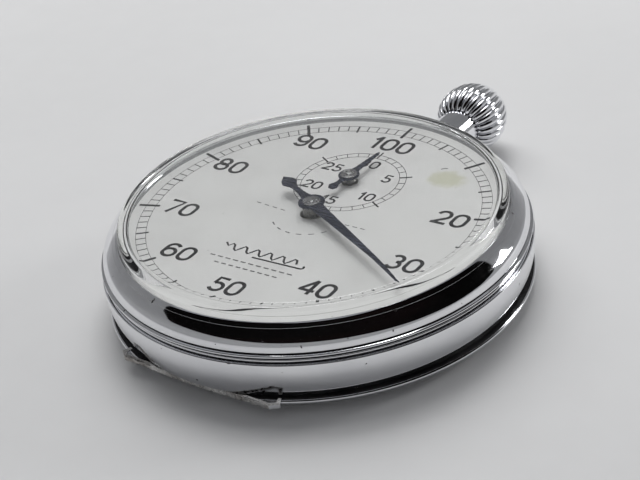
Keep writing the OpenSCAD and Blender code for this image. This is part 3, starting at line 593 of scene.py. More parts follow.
    @staticmethod
    def bored(piece: Piece, cutter: Piece) -> Piece:
        """Cut one mesh out of another and drop the cutter."""
        Bench.pick(piece)
        bpy.ops.object.modifier_add(type="BOOLEAN")
        cut = piece.modifiers[-1]
        cut.operation = "DIFFERENCE"
        cut.solver = "EXACT"
        cut.object = cutter
        bpy.ops.object.modifier_apply(modifier=cut.name)
        bpy.data.objects.remove(cutter, do_unlink=True)
        bpy.ops.object.shade_smooth_by_angle(angle=math.radians(SMOOTH_DEG))
        return piece

    @staticmethod
    def joined(name: str, parts: Sequence[Piece]) -> Piece:
        """Join objects into the first one and name it."""
        Bench.clear()
        for part in parts:
            part.select_set(True)
        bpy.context.view_layer.objects.active = parts[0]
        bpy.ops.object.join()
        parts[0].name = parts[0].data.name = name
        return parts[0]

    @staticmethod
    def wire(
        name: str,
        strokes: Sequence[Sequence[Sequence[float]]],
        radii: Sequence[Sequence[float]],
        sides: int = 3,
    ) -> Piece:
        """Draw round strokes along paths and make them one mesh.

        Args:
            name: The new object's name.
            strokes: Paths of points in millimetres.
            radii: The radius at each point of each path, in millimetres.
            sides: Bevel resolution of the strokes.

        Returns:
            The mesh object.
        """
        Bench.clear()
        curve = bpy.data.curves.new(name, "CURVE")
        curve.dimensions = "3D"
        curve.bevel_depth = MM
        curve.bevel_resolution = sides
        curve.use_fill_caps = True
        for path, sizes in zip(strokes, radii):
            spline = curve.splines.new("POLY")
            spline.points.add(len(path) - 1)
            for knot, place, size in zip(spline.points, path, sizes):
                knot.co = (*(Vector(place) * MM), 1.0)
                knot.radius = size
        piece = bpy.data.objects.new(name, curve)
        bpy.context.scene.collection.objects.link(piece)
        Bench.pick(piece)
        bpy.ops.object.convert(target="MESH")
        piece = bpy.context.object
        piece.name = piece.data.name = name
        return piece

    @staticmethod
    def fit_out(piece: Piece, finish: Any, body: str, slot: str, *nodes: str) -> None:
        """Dress a finished piece and tie it to the frame.

        Args:
            piece: The object.
            finish: A finish with a material method.
            body: The body it rides on.
            slot: The record's material slot; not used.
            *nodes: Frame nodes that it replaces.
        """
        piece.data.materials.clear()
        piece.data.materials.append(finish.material())
        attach(piece, body)
        if nodes:
            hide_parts(*nodes)
        LOG.info("%s: %d faces on %s", piece.name, len(piece.data.polygons), body)


def bow(cx: float, cy: float, rx: float, ry: float, start: float, end: float, count: int = 12) -> list[Point]:
    """Return points along an elliptic arc, angles in degrees."""
    angles = (math.radians(start + (end - start) * i / count) for i in range(count + 1))
    return [(cx + rx * math.cos(a), cy + ry * math.sin(a)) for a in angles]


def clock(radius: float, degrees: float, centre: Point = (0.0, 0.0)) -> Point:
    """Return the point at a radius, clockwise from the crown."""
    a = math.radians(90.0 - degrees)
    return (centre[0] + radius * math.cos(a), centre[1] + radius * math.sin(a))


# ------------------------------------------------------------------ case
@dataclass
class WatchCase:
    """The chromed shell: band, snap bezel, back cover with thumb lip, and neck."""

    body: str = "movement_case"
    slot: str = "chromed_brass"
    neck_r: float = 2.65
    band_arc: Place = (15.9, 5.9, 9.1)
    rim_arc: Place = (22.732, 8.0, 1.868)
    slope_arc: Place = (15.822, 0.589, 12.0)
    lip_edge: float = 23.6
    lip_half: float = 10.2
    lip_low: float = 1.38
    lip_thick: float = 0.54
    lip_turn: float = 2.0
    steps: int = 240

    def band(self) -> None:
        """Turn the case band, with the bead under the seam and the neck's hole."""
        cx, cz, r = self.band_arc
        profile = [(21.85, 2.0), (23.9, 2.0)] + bow(cx, cz, r, r, -25.3, 3.4, 22)
        profile += bow(24.83, 6.44, 0.15, 0.08, 5, 90, 5) + [(24.5, 6.50), (24.1, 6.48), (24.1, 6.56)]
        profile += bow(24.28, 6.80, 0.34, 0.24, -72, 80, 12)
        profile += [(24.0, 7.1), (23.6, 7.12), (23.6, 7.3), (23.18, 7.3), (23.18, 9.9), (22.23, 9.9)]
        profile += [(22.23, 9.6), (20.5, 9.6), (20.5, 7.6), (20.95, 7.6), (20.95, 3.55), (21.85, 3.55)]
        band = Bench.turned("band_shell", profile, self.steps)
        bore, inner, outer = self.neck_r - 0.01, 18.0, 30.0
        cutter = [(0.0, inner), (bore, inner), (bore, outer), (0.0, outer)]
        hole = Bench.turned("neck_hole", cutter, 64, Axis.STEM)
        Bench.fit_out(Bench.bored(band, hole), CHROME, self.body, self.slot, "case_band")
        # Painted shade in the groove under the bead, the seam under the bezel and the gap at the band's foot.
        self.paint_groove_shade(band, ((6.47, 6.58, 24.6), (6.95, 7.32, 24.62), (1.9, 2.1, 24.2)))

    def paint_groove_shade(self, piece: Piece, grooves: Sequence[Place]) -> None:
        """Paint shade on the faces that lie in a groove: they get a near-black material that stands in for
        the shade in the recess.

        Args:
            piece: The turned piece.
            grooves: Lowest height, highest height and largest radius of each groove.
        """
        piece.data.materials.append(GROOVE_SHADE.material())
        for face in piece.data.polygons:
            height, reach = face.center.z / MM, math.hypot(face.center.x, face.center.y) / MM
            if any(low < height < high and 21.9 < reach < out for low, high, out in grooves):
                face.material_index = len(piece.data.materials) - 1

    def bezel(self) -> None:
        """Turn the pressed-on bezel: rolled lower edge, round shoulder and sloping face."""
        profile = [(23.22, 7.42), (24.0, 7.33), (24.7, 7.33)]
        profile += bow(24.80, 7.48, 0.12, 0.14, -80, 76, 7)
        profile += [(24.52, 7.705), (24.40, 7.74), (24.40, 7.80)]
        profile += bow(*self.rim_arc, self.rim_arc[2], -5, 47, 22)
        profile += bow(*self.slope_arc, self.slope_arc[2], 47, 55, 12)[1:]
        profile += [(22.64, 10.44), (22.56, 10.42), (22.54, 10.36), (22.54, 10.05), (23.22, 10.05)]
        bezel = Bench.turned("bezel_ring", profile, self.steps)
        Bench.fit_out(bezel, CHROME, self.body, self.slot, "bezel")
        # Painted shade in the grooves above and below the bezel's rolled edge.
        self.paint_groove_shade(bezel, ((7.73, 7.84, 24.585), (7.3, 7.43, 24.66)))

    def back(self) -> None:
        """Turn the domed back cover, cut its straight edge and add the worn lip."""
        profile = [(0.0, 0.0), (12.6, 0.0), (13.6, 0.02), (15.4, 0.12), (18.0, 0.33), (20.6, 0.64)]
        profile += [(22.6, 0.98), (23.8, 1.22), (24.4, 1.34)] + bow(24.60, 1.60, 0.22, 0.23, -60, 88, 8)
        profile += [(21.8, 1.85), (21.8, 2.75), (21.2, 2.75), (21.2, 1.65), (13.0, 0.7), (0.0, 0.7)]
        cover = Bench.turned("back_shell", profile, self.steps)
        tilt = math.radians(-self.lip_turn)
        away = Vector((math.sin(tilt), -math.cos(tilt), 0.0))
        Bench.edit(cover)
        edge = away * self.lip_edge * MM
        bpy.ops.mesh.bisect(plane_co=edge, plane_no=away, clear_outer=True, use_fill=True)
        bpy.ops.object.mode_set(mode="OBJECT")
        shell = Bench.joined("back_shell", [Bench.done(cover), self.lip()])
        Bench.fit_out(shell, CHROME, self.body, self.slot, "back_cover")
        # Painted shade on the lip's top and in the gap between the band and the lip.
        self.paint_groove_shade(cover, ((1.80, 1.88, 24.60), (1.93, 2.9, 24.6)))
        cover.data.materials.append(BARE_EDGE.material())
        bare = len(cover.data.materials) - 1
        corner_reach, corner_low, burr_reach = 2.0, 1.88, 0.12
        for face in cover.data.polygons:
            flat = (face.center / MM).dot(away)
            corner = flat > self.lip_edge - corner_reach and face.center.z > corner_low * MM
            if corner or flat > self.lip_edge - burr_reach:
                face.material_index = bare

    def lip(self) -> Piece:
        """Return the thumb lip, a thin strip with burred edge and standing corners."""
        half, edge = self.lip_half, self.lip_edge
        notches = 30
        near = [(-half + 2 * half * i / notches, -edge) for i in range(notches + 1)]
        ends = [(1.0, 0.8), (0.5, 1.75), (0.15, 1.6), (0.35, 0.85), (-0.15, 0.45)]
        right = [(half + x, y - edge) for x, y in ends]
        left = [(-half - x, y - edge) for x, y in reversed(ends)]
        strip = Bench.plate("thumb_strip", near + right + left, self.lip_low, self.lip_thick)
        Bench.edit(strip)
        bpy.ops.mesh.subdivide(number_cuts=1)
        bpy.ops.mesh.select_all(action="DESELECT")
        bpy.ops.object.mode_set(mode="OBJECT")
        for corner in strip.data.vertices:
            corner.select = corner.co.y < (-edge + 0.05) * MM and abs(corner.co.x) < (half - 0.2) * MM
        bpy.ops.object.mode_set(mode="EDIT")
        bpy.ops.transform.vertex_random(offset=0.13 * MM, uniform=0.2, normal=0.0, seed=7)
        bpy.ops.mesh.select_all(action="SELECT")
        turn = math.radians(self.lip_turn)
        bpy.ops.transform.rotate(value=turn, orient_axis="Z", center_override=(0.0, 0.0, 0.0))
        bpy.ops.object.mode_set(mode="OBJECT")
        return Bench.bevelled(strip, 0.05, 2, 40.0)

    def neck(self) -> None:
        """Turn the pendant tube, with its bore."""
        r = self.neck_r
        profile = [(0.9, 20.0), (r, 20.0), (r, 32.7), (r - 0.1, 32.85), (r - 0.3, 32.9)]
        profile += [(1.94, 32.9), (1.94, 21.0), (0.9, 21.0)]
        tube = Bench.turned("neck_tube", profile, 96, Axis.STEM)
        Bench.fit_out(tube, CHROME, self.body, self.slot, "pendant_tube")

    def build(self) -> None:
        """Make every piece of the case."""
        self.band()
        self.bezel()
        self.back()
        self.neck()


@dataclass
class RibbedCrown:
    """The ball-shaped push crown: a turned core and rods bent round it."""

    ribs: int = 28
    radius: float = 4.38
    start: float = 31.92
    length: float = 7.36
    outline: list[Point] = field(default_factory=lambda: [
        (0.00, 0.66), (0.03, 0.745), (0.09, 0.85), (0.17, 0.935), (0.27, 0.985), (0.38, 1.0), (0.49, 0.985),
        (0.60, 0.94), (0.71, 0.86), (0.80, 0.765), (0.88, 0.65), (0.94, 0.52), (0.975, 0.40)])

    def core(self) -> Piece:
        """Return the core that shows between the rods, with the neck's recess and cap."""
        under = 0.62
        skin = [(self.radius * f - under, self.start + self.length * t) for t, f in self.outline]
        skin[0] = (2.9, self.start + 0.02)
        end = self.start + self.length
        cap = [(1.55, self.start + self.length * 0.965), (1.3, end - 0.05), (0.8, end), (0.0, end)]
        recess = [(0.82, 35.8), (0.82, 34.36), (2.84, 34.36), (2.84, self.start + 0.1)]
        profile = [(0.0, 35.8)] + recess + skin + cap
        return Bench.turned("crown_core", profile, 112, Axis.STEM, closed=False)

    def rods(self) -> Piece:
        """Return the ring of tapering rods."""
        path, sizes = [], []
        fat = math.pi * self.radius / self.ribs
        for t, f in self.outline:
            size = max(0.16, fat * 0.92 * f)
            path.append((self.radius * f - size, self.start + self.length * t, LEVELS.stem))
            sizes.append(size)
        sizes[0] *= 0.75
        sizes[-1] *= 0.6
        rod = Bench.wire("crown_rod", [path], [sizes], 4)
        Bench.done(rod, 60.0)
        return Bench.ringed(rod, self.ribs, 360.0 / self.ribs, Axis.STEM)

    def build(self) -> None:
        """Make the crown."""
        crown = Bench.joined("ribbed_crown", [self.core(), self.rods()])
        Bench.fit_out(crown, CHROME, "crown", "chromed_brass", "crown")


@dataclass
class Crystal:
    """The clear acrylic dome with its rounded shoulder."""

    shoulder: Place = (21.8, 11.2, 0.7)
    hollow: Place = (20.8, 10.7, 0.9)
    foot: float = 10.03
    top: float = 12.88
    thick: float = 0.3
    steps: int = 240

    def skin(self, corner: Place, top: float) -> list[Point]:
        """Return one skin from the foot over the corner to the middle.

        Args:
            corner: Centre and radius of the rounded corner.
            top: Height of the skin in the middle.
        """
        cx, cz, r = corner
        rise = top - cz - r
        low = [(cx + r, self.foot + (cz - self.foot) * i / 3) for i in range(3)]
        over = [(cx * (1 - i / 16), cz + r + rise * (1 - (1 - i / 16) ** 2)) for i in range(1, 17)]
        return low + bow(cx, cz, r, r, 0, 87, 18) + over

    def build(self) -> None:
        """Turn the dome: outer skin to the middle, inner skin back."""
        inside = self.skin(self.hollow, self.top - self.thick)
        dome = Bench.turned("crystal_dome", self.skin(self.shoulder, self.top) + inside[::-1], self.steps)
        Bench.fit_out(dome, ACRYLIC, "movement_case", "acrylic", "crystal")


# ------------------------------------------------------------------ dial print
class Digit:
    """Rounded block numerals, drawn as strokes in a box one unit high."""

    NARROW = {"1": 0.40}
    WIDE = 0.69
    GAP = 0.085

    @staticmethod
    def strokes(sign: str) -> list[list[Point]]:
        """Return the strokes of a digit as paths in unit sizes."""
        ring = bow(0.345, 0.655, 0.275, 0.275, 0, 180)
        ring += bow(0.345, 0.345, 0.275, 0.275, 180, 360) + [(0.62, 0.655)]
        six = bow(0.345, 0.655, 0.275, 0.275, 32, 180) + bow(0.345, 0.335, 0.275, 0.265, 180, 540, 26)
        two = bow(0.335, 0.665, 0.265, 0.265, 172, -42, 16) + [(0.085, 0.085)]
        shapes = {
            "0": [ring],
            "1": [[(0.03, 0.70), (0.25, 0.93)], [(0.25, 1.0), (0.25, 0.0)]],
            "2": [two, [(0.0, 0.07), (0.66, 0.07)]],
            "3": [bow(0.33, 0.705, 0.235, 0.225, 150, -82, 16), bow(0.33, 0.305, 0.265, 0.235, 84, -152, 16)],
            "4": [[(0.50, 0.98), (0.05, 0.27)], [(0.0, 0.27), (0.69, 0.27)], [(0.50, 0.98), (0.50, 0.0)]],
            "5": [[(0.60, 0.93), (0.16, 0.93), (0.13, 0.53)], bow(0.33, 0.335, 0.28, 0.265, 132, -152, 18)],
            "6": [six],
            "7": [[(0.03, 0.93), (0.64, 0.93), (0.26, 0.0)]],
            "8": [bow(0.345, 0.705, 0.22, 0.225, 0, 360, 22), bow(0.345, 0.305, 0.27, 0.24, 0, 360, 22)],
            "9": [[(0.69 - x, 1.0 - y) for x, y in six]],
        }
        return shapes[sign]

    @staticmethod
    def width(text: str) -> float:
        """Return the width of a row of digits in unit sizes."""
        return sum(Digit.NARROW.get(c, Digit.WIDE) for c in text) + Digit.GAP * (len(text) - 1)

    @staticmethod
    def row(text: str, centre: Point, height: float) -> list[list[Point]]:
        """Return the strokes of a number centred on a point, in millimetres."""
        paths, x = [], centre[0] - Digit.width(text) * height / 2
        for sign in text:
            for path in Digit.strokes(sign):
                paths.append([(x + u * height, centre[1] + (v - 0.5) * height) for u, v in path])
            x += (Digit.NARROW.get(sign, Digit.WIDE) + Digit.GAP) * height
        return paths


@dataclass
class DialPrint:
    """The dial's printed scales, numerals and plain ornaments."""

    ink: float = 0.016
    scale_r: tuple[float, float] = (19.31, 20.47)
    long_mark: tuple[float, float] = (18.8, 21.4)
    mid_mark: tuple[float, float] = (18.95, 20.5)
    near_end: float = 19.95
    near_deg: float = 90.0
    near_groups: int = 6
    counter_r: tuple[float, float] = (5.85, 6.65)
    counter_long: tuple[float, float] = (5.85, 7.35)
    long_wide: float = 0.38
    mid_wide: float = 0.24
    minor_wide: float = 0.12
    figure_high: float = 3.3
    figure_stroke: float = 0.46
    figure_shift: Point = (0.22, -0.05)
    counter_high: float = 2.0
    counter_stroke: float = 0.28
    numerals: dict[str, Point] = field(default_factory=lambda: {
        "100": (-0.15, 16.95), "90": (-10.1, 13.95), "80": (-15.9, 5.35), "70": (-15.4, -5.15),
        "60": (-9.6, -13.1), "50": (-0.15, -16.7), "40": (9.45, -13.1), "30": (15.4, -5.1),
        "20": (15.3, 4.95)})

    def mark(
        self,
        name: str,
        low: float,
        high: float,
        width: float,
        centre: Point = (0.0, 0.0),
        at: float = 0.0,
    ) -> Piece:
        """Return one printed mark with softened corners.

        Args:
            name: The new object's name.
            low: Inner radius.
            high: Outer radius.
            width: Width of the mark.
            centre: Centre of the scale.
            at: Degrees clockwise from the crown.

        Returns:
            The mark's mesh.
        """
        half, soft = width / 2, width * 0.22
        shape = [(low + soft, -half), (high - soft, -half), (high, -half + soft), (high, half - soft),
                 (high - soft, half), (low + soft, half), (low, half - soft), (low, -half + soft)]
        a = math.radians(90.0 - at)
        outline = [(centre[0] + x * math.cos(a) - y * math.sin(a),
                    centre[1] + x * math.sin(a) + y * math.cos(a)) for x, y in shape]
        return Bench.plate(name, outline, LEVELS.dial, self.ink)

    def line(self, name: str, radius: float, width: float, centre: Point = (0.0, 0.0)) -> Piece:
        """Return a thin printed ring."""
        top = LEVELS.dial + self.ink * 0.9
        return Bench.turned(name, [(radius - width / 2, LEVELS.dial), (radius + width / 2, LEVELS.dial),
                                   (radius + width / 2, top), (radius - width / 2, top)], 200, centre=centre)

    def outer_scale(self) -> None:
        """Print the hundred divisions."""
        parts = []
        groups, all_groups = self.near_groups, 20
        small, step = 3.6, 18.0
        ranges = (("near", self.near_deg, groups, self.near_end),
                  ("far", self.near_deg + step * groups, all_groups - groups, self.long_mark[1]))
        for kind, first, count, end in ranges:
            low, high = self.scale_r[0], min(end, self.scale_r[1])
            minor = [self.mark(f"{kind}_{i}", low, high, self.minor_wide, at=first + small * i)
                     for i in (1, 2, 3, 4)]
            parts.append(Bench.ringed(Bench.joined(f"{kind}_marks", minor), count, step))
            for i in range(count):
                at = first + step * i
                middle = round(at / step) % 2
                low, high = self.mid_mark if middle else self.long_mark
                width = self.mid_wide if middle else self.long_wide
                parts.append(self.mark(f"{kind}_mark_{i}", low, min(end, high), width, at=at))
        parts += [
            self.line("inner_line", self.scale_r[0], 0.05),
            self.line("outer_line", self.scale_r[1], 0.05),
        ]
        Bench.fit_out(Bench.joined("dial_scale", parts), INK, "movement_case", "silvered_dial")

    def counter_scale(self) -> None:
        """Print the counter's thirty divisions."""
        centre = (0.0, LEVELS.counter_y)
        minor = Bench.joined("counter_minor", [
            self.mark(f"count_{i}", *self.counter_r, 0.085, centre, 12.0 * i) for i in (1, 2, 3, 4)])
        parts = [
            Bench.ringed(minor, 6, 60.0, centre=centre),
            Bench.ringed(self.mark("counter_long", *self.counter_long, 0.20, centre), 6, 60.0, centre=centre),
            self.line("counter_inner", self.counter_r[0], 0.065, centre),
            self.line("counter_outer", self.counter_r[1], 0.065, centre),
        ]
        Bench.fit_out(Bench.joined("counter_scale", parts), INK, "movement_case", "silvered_dial")

    def strokes(self, name: str, rows: list[list[Point]], width: float, finish: Finish) -> None:
        """Print strokes of one width as a flattened film of ink.

        Args:
            name: The new piece's name.
            rows: Paths in X and Y.
            width: Width of the strokes.
            finish: The ink.
        """
        paths = [[(x, y, 0.0) for x, y in row] for row in rows]
        film = Bench.wire(name, paths, [[width / 2] * len(row) for row in rows], 2)
        Bench.edit(film)
        bpy.ops.transform.resize(value=(1.0, 1.0, 2 * self.ink / width), center_override=(0.0, 0.0, 0.0))
        bpy.ops.transform.translate(value=(0.0, 0.0, LEVELS.dial * MM))
        Bench.fit_out(Bench.done(film, 60.0), finish, "movement_case", "silvered_dial")

    def figures(self) -> None:
        """Print the numerals of both scales; one numeral of the large scale is worn away."""
        right, up = self.figure_shift
        height = self.figure_high - self.figure_stroke
        rows = [path for text, place in self.numerals.items()
                for path in Digit.row(text, (place[0] + right, place[1] + up), height)]
        self.strokes("dial_numerals", rows, self.figure_stroke, INK)
        small = []
        for i, text in enumerate(("30", "5", "10", "15", "20", "25")):
            place = clock(4.4, 60.0 * i, (0.0, LEVELS.counter_y))
            small += Digit.row(text, place, self.counter_high - self.counter_stroke)
        self.strokes("counter_numerals", small, self.counter_stroke, INK)
        self.strokes("worn_numeral", [[(8.55, 14.15), (8.85, 14.5), (9.25, 14.55)]], 0.18, FAINT_INK)

    def ornaments(self) -> None:
        """Print plain dashes and a flourish with no lettering."""
        starts = ((-7.6 + 1.2 * i, -0.5 - 0.1 * i) for i in range(4))
        rows = [[(x, y), (x + 0.62, y - 0.05)] for x, y in starts]
        rows += [[(x, -0.8), (x + 0.62, -0.8)] for x in (4.9 + 1.05 * i for i in range(3))]
        for i in range(6):
            turn = 218.0 - 17.4 * i
            rows.append([clock(4.75, turn + 4.0), clock(4.75, turn - 4.0)])
        self.strokes("small_dashes", rows, 0.15, FAINT_INK)
        wave = [(-4.9 + 0.34 * i, -9.75 + 0.62 * math.sin(i * 1.25)) for i in range(29)]
        under = [(-0.9, -10.75), (5.4, -10.6)] + bow(5.4, -10.3, 0.4, 0.3, -90, 60, 6)
        swash = [[(-5.5, -9.2)] + wave, under]
        self.strokes("flourish", swash, 0.27, INK)
        rows = [[(x, -12.0), (x + 0.68, -12.0)] for x in (-5.75 + 1.05 * i for i in range(11))]
        rows += [[(x, -13.1), (x + 0.62, -13.1)] for x in (-4.4 + 0.99 * i for i in range(9))]
        self.strokes("dash_rows", rows, 0.2, FAINT_INK)

    def build(self) -> None:
        """Print everything on the dial."""
        self.outer_scale()
        self.counter_scale()
        self.figures()
        self.ornaments()


# ------------------------------------------------------------------ hands
@dataclass
class Hand:
    """A flat steel hand with a round hub, a tapering blade and a tail."""

    name: str
    node: str
    body: str
    centre: Point
    angle: float
    low: float
    hub_r: float
    blade: list[Point]
    tail: list[Point]
    thick: float = 0.16
    bend: Point | None = None

    def outline(self) -> list[Point]:
        """Return the hand's outline, blade along +X, as one loop of points."""
        def flank(edge: list[Point]) -> float:
            """Return the hub's angle where an edge leaves it."""
            return math.degrees(math.asin(min(0.95, edge[0][1] / self.hub_r)))
        a, b = flank(self.blade), 180 - flank(self.tail)
        upper = [(x, w) for x, w in reversed(self.blade)] + bow(0, 0, self.hub_r, self.hub_r, a, b, 14)
        upper += [(-x, w) for x, w in self.tail]
        return upper + [(x, -y) for x, y in reversed(upper) if y > 1e-6]

    def build(self) -> None:
        """Make the hand and lay it at its angle."""
        plate = Bench.plate(self.name, self.outline(), 0.0, self.thick)
        Bench.bevelled(plate, 0.035, 2, 30.0)
        Bench.clear()
        if self.bend:
            start, drop = self.bend
            reach = self.blade[-1][0] - start
            for corner in plate.data.vertices:
                along = corner.co.x / MM - start
                if along > 0:
                    corner.co.z -= drop * MM * (along / reach) ** 2
        turn = Matrix.Rotation(math.radians(90.0 - self.angle), 4, "Z")
        plate.matrix_world = Matrix.Translation(Vector((*self.centre, self.low)) * MM) @ turn
        Bench.pick(plate)
        bpy.ops.object.transform_apply(location=True, rotation=True, scale=True)
        Bench.fit_out(plate, BLUE_HAND, self.body, "blued_hand", self.node)


@dataclass
class HandSet:
    """The sweep hand, the minute hand, and their ringed hubs on grey pipes."""

    sweep_low: float = 11.36
    minute_low: float = 10.84

    def hub(self, name: str, centre: Point, low: float, r: float, body: str, *nodes: str) -> None:
        """Turn the stack of rings on a hub.

        Args:
            name: The new piece's name.
            centre: The hand's axis.
            low: Height of the hand's upper face.
            r: Outer radius of the rings.
            body: The body it rides on.
            *nodes: Nodes that it replaces.
        """
        profile = [(0.0, low - 0.05), (r, low - 0.05)]
        profile += bow(r - 0.06, low + 0.06, 0.06, 0.06, 0, 90, 4)
        profile += [(r * 0.84, low + 0.12), (r * 0.80, low + 0.04), (r * 0.68, low + 0.04)]
        profile += [(r * 0.64, low + 0.14), (r * 0.50, low + 0.14), (r * 0.46, low + 0.05)]
        profile += [(r * 0.36, low + 0.05), (r * 0.33, low + 0.15)]
        profile += bow(0.0, low + 0.15, r * 0.33, 0.05, 30, 90, 4)
        piece = Bench.turned(name, profile, 72, centre=centre, closed=False)
        Bench.fit_out(piece, HUB_STEEL, body, "pipe_steel", *nodes)

    def pipe(self, name: str, centre: Point, r: float, top: float, body: str, *nodes: str) -> None:
        """Turn the pipe under a hand, with a collar at its foot and head."""
        low = LEVELS.dial + 0.05
        bore = 0.4
        profile = [(bore, low), (r * 0.92, low), (r * 0.97, low + 0.05), (r * 0.97, low + 0.18)]
        profile += [(r * 0.9, low + 0.25), (r * 0.9, top - 0.3), (r, top - 0.22), (r, top - 0.04)]
        profile += [(r - 0.05, top), (bore, top)]
        pipe = Bench.turned(name, profile, 72, centre=centre)
        Bench.fit_out(pipe, PIPE_STEEL, body, "pipe_steel", *nodes)

    def build(self) -> None:
        """Make both hands with their hubs and pipes."""
        centre: Point = (0.0, 0.0)
        counter: Point = (0.0, LEVELS.counter_y)
        sweep = Hand(
            "sweep_blade", "sweep_hand", "sweep", centre, LEVELS.sweep_deg, self.sweep_low, 1.55,
            blade=[(1.3, 0.78), (3.0, 0.66), (10.8, 0.39), (15.0, 0.25), (16.4, 0.21), (17.6, 0.17),
                   (18.6, 0.14), (20.3, 0.08), (20.7, 0.0)],
            tail=[(1.25, 0.72), (1.9, 0.50), (2.8, 0.38), (4.2, 0.32), (4.8, 0.48), (5.5, 0.88),
                  (5.75, 0.92), (6.3, 0.76), (7.28, 0.0)],
            bend=(14.0, 0.62))
        minute = Hand(
            "minute_blade", "minute_hand", "minute", counter, LEVELS.minute_deg, self.minute_low, 1.25,
            blade=[(1.15, 0.46), (1.9, 0.36), (4.0, 0.27), (5.3, 0.20), (5.78, 0.08)],
            tail=[(1.1, 0.42), (1.6, 0.28), (2.2, 0.26), (2.6, 0.48), (3.0, 0.60), (3.48, 0.30)])
        for hand in (sweep, minute):
            hand.build()
        self.hub("sweep_hub", centre, self.sweep_low + sweep.thick, 1.03, "sweep")
        self.hub("minute_hub", counter, self.minute_low + minute.thick, 0.98, "minute")
        self.pipe("sweep_pipe_body", centre, 1.3, self.sweep_low, "sweep", "sweep_pipe")
        self.pipe("minute_pipe_body", counter, 0.8, self.minute_low, "minute")


# ------------------------------------------------------------------ movement
@dataclass
class Movement:
    """The frame's own solids behind the dial, which only get their finishes."""

    by_slot: dict[str, Any] = field(default_factory=lambda: {
        "chromed_brass": CHROME, "acrylic": ACRYLIC, "silvered_dial": DialFinish(),
        "nickel_plate": NICKEL, "gilt_brass": GILT, "blued_hand": BLUE_HAND, "blued_steel": BLUED,
        "ruby": RUBY, "pipe_steel": PIPE_STEEL, "polished_steel": STEEL})

    def dress(self, frame: dict[str, Any]) -> None:
        """Give each node the finish of its material slot.
        """
        for row in frame["record"]["subparts"]:
            piece = frame["nodes"][row["node"]]
            finish = self.by_slot[row["material_slot"]].material()
            if not piece.material_slots:
                piece.data.materials.append(finish)
            for place in piece.material_slots:
                place.material = finish
            LOG.info("%s: %s", row["node"], finish.name)


# ------------------------------------------------------------------ studio
@dataclass(frozen=True)
class Lamp:
    """A rectangular soft light: its place, the point it faces, its size and its watts."""

    name: str
    place: Place
    target: Place
    size: Point
    watts: float
    mirrored: bool = True

    def hang(self) -> None:
        """Add the light; one that is not mirrored lights the pieces but shows in none."""
        data = bpy.data.lights.new(self.name, "AREA")
        data.shape = "RECTANGLE"
        data.size, data.size_y = self.size[0] * MM, self.size[1] * MM
        data.energy = self.watts
        light = bpy.data.objects.new(self.name, data)
        light.visible_glossy = light.visible_transmission = self.mirrored
        aim = (Vector(self.place) - Vector(self.target)).to_track_quat("Z", "Y")
        light.matrix_world = Matrix.Translation(Vector(self.place) * MM) @ aim.to_matrix().to_4x4()
        bpy.context.scene.collection.objects.link(light)


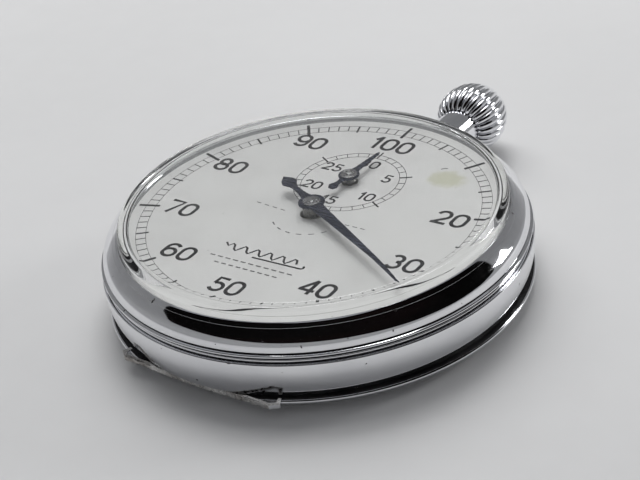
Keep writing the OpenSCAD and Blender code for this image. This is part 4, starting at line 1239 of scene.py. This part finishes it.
@dataclass
class Studio:
    """Camera, pale floor, soft lights and the dark opening that the chrome mirrors."""

    azimuth: float = 38.60
    elevation: float = 30.19
    distance: float = 226.07
    lens: float = 111.34
    nudge: Place = (-0.085, -0.771, -8.185)
    wall_r: float = 79.0
    wall_top: float = 330.0
    wall_foot: list[Point] = field(default_factory=lambda: [
        (-147.6, 76.0), (-146.0, 64.0), (-143.0, 57.5), (-136.2, 54.2), (-121.6, 51.0), (-97.2, 42.6),
        (-82.0, 36.5), (-56.0, 32.3), (-36.6, 28.0), (-15.8, 18.0), (5.0, 12.0), (20.0, 14.0),
        (30.0, 24.0), (37.5, 42.0), (43.0, 60.0), (45.5, 80.0)])
    floor_r: float = 700.0
    cove_r: float = 400.0
    backdrop_top: float = 1300.0
    gap: float = 0.02
    room_light: Colour = (0.93, 0.95, 1.0)
    room_strength: float = 0.31
    lamps: list[Lamp] = field(default_factory=lambda: [
        Lamp("overhead", (-130.0, 225.0, 560.0), (0.0, 0.0, 0.0), (290.0, 290.0), 1.0),
        Lamp("soft_key", (-330.0, 380.0, 560.0), (0.0, 0.0, 0.0), (820.0, 460.0), 3.5, mirrored=False),
        Lamp("window_right", (300.0, 420.0, 200.0), (0.0, 20.0, 10.0), (120.0, 150.0), 0.55),
        Lamp("window_left", (-455.0, 404.0, 90.0), (0.0, 0.0, 10.0), (40.0, 50.0), 0.06)])

    def camera(self) -> None:
        """Place the camera round the dial's centre."""
        az, el = math.radians(self.azimuth), math.radians(self.elevation)
        back = Vector((math.sin(az) * math.cos(el), -math.cos(az) * math.cos(el), math.sin(el)))
        place = Vector((0.0, 0.0, LEVELS.dial)) + back * self.distance
        right = Vector((0.0, 0.0, 1.0)).cross(back).normalized()
        rows = Matrix((right, back.cross(right), back))
        yaw, pitch, roll = (math.radians(a) for a in self.nudge)
        turn_y = Matrix((
            (math.cos(yaw), 0, -math.sin(yaw)), (0, 1, 0), (math.sin(yaw), 0, math.cos(yaw))))
        turn_x = Matrix((
            (1, 0, 0), (0, math.cos(pitch), math.sin(pitch)), (0, -math.sin(pitch), math.cos(pitch))))
        turn_z = Matrix((
            (math.cos(roll), math.sin(roll), 0), (-math.sin(roll), math.cos(roll), 0), (0, 0, 1)))
        view = (turn_z @ turn_x @ turn_y @ rows).transposed()
        data = bpy.data.cameras.new("studio_camera")
        data.lens = self.lens
        data.sensor_width = 36.0
        data.clip_start = 0.005
        camera = bpy.data.objects.new("studio_camera", data)
        camera.matrix_world = Matrix.Translation(place * MM) @ view.to_4x4()
        bpy.context.scene.collection.objects.link(camera)
        bpy.context.scene.camera = camera

    def floor(self) -> None:
        """Turn the pale floor, which rises into a seamless backdrop all round."""
        profile = [(0.0, -self.gap), (self.floor_r, -self.gap)]
        profile += bow(self.floor_r, self.cove_r, self.cove_r, self.cove_r, -84, 0, 14)
        profile += [(self.floor_r + self.cove_r, self.backdrop_top)]
        sweep = Bench.turned("pale_floor", profile, 96, closed=False)
        Bench.edit(sweep)
        bpy.ops.mesh.normals_make_consistent(inside=True)
        bpy.ops.object.mode_set(mode="OBJECT")
        sweep.data.materials.append(PAPER.material())

    def opening(self) -> None:
        """Stand up the dark wall round the viewer's side, seen only in reflections."""
        knots = self.wall_foot
        path: list[Point] = []
        for (turn, low), (turn_to, low_to) in zip(knots, knots[1:]):
            path += [(turn + (turn_to - turn) * i / 6, low + (low_to - low) * i / 6) for i in range(6)]
        path.append(knots[-1])
        wall = Bench.thread("dark_opening", [
            (self.wall_r * math.cos(math.radians(t)), self.wall_r * math.sin(math.radians(t)), z)
            for t, z in path])
        bpy.ops.mesh.select_all(action="SELECT")
        bpy.ops.mesh.extrude_region_move(TRANSFORM_OT_translate={"value": (0.0, 0.0, self.wall_top * MM)})
        bpy.ops.object.mode_set(mode="OBJECT")
        wall.data.materials.append(DARK_CARD.material())
        for way in ("camera", "diffuse", "shadow", "transmission", "volume_scatter"):
            setattr(wall, f"visible_{way}", False)

    def sky(self) -> None:
        """Fill the room with an even pale light."""
        world = bpy.data.worlds.new("pale_room")
        world.use_nodes = True
        ground = world.node_tree.nodes["Background"]
        ground.inputs["Color"].default_value = (*self.room_light, 1.0)
        ground.inputs["Strength"].default_value = self.room_strength
        bpy.context.scene.world = world
        bpy.context.scene.view_settings.view_transform = "Standard"

    def build(self) -> None:
        """Set up the whole studio."""
        self.camera()
        self.floor()
        self.opening()
        self.sky()
        for lamp in self.lamps:
            lamp.hang()


# ------------------------------------------------------------------ main
def main() -> None:
    """Build the stopwatch round its frame."""
    logging.basicConfig(level=logging.INFO, format="%(name)s %(message)s")
    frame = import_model()
    Studio().build()
    Movement().dress(frame)
    for assembly in (WatchCase(), RibbedCrown(), Crystal(), DialPrint(), HandSet()):
        assembly.build()
        LOG.info("%s finished", type(assembly).__name__)
    Bench.clear()


if __name__ == "__main__":
    main()
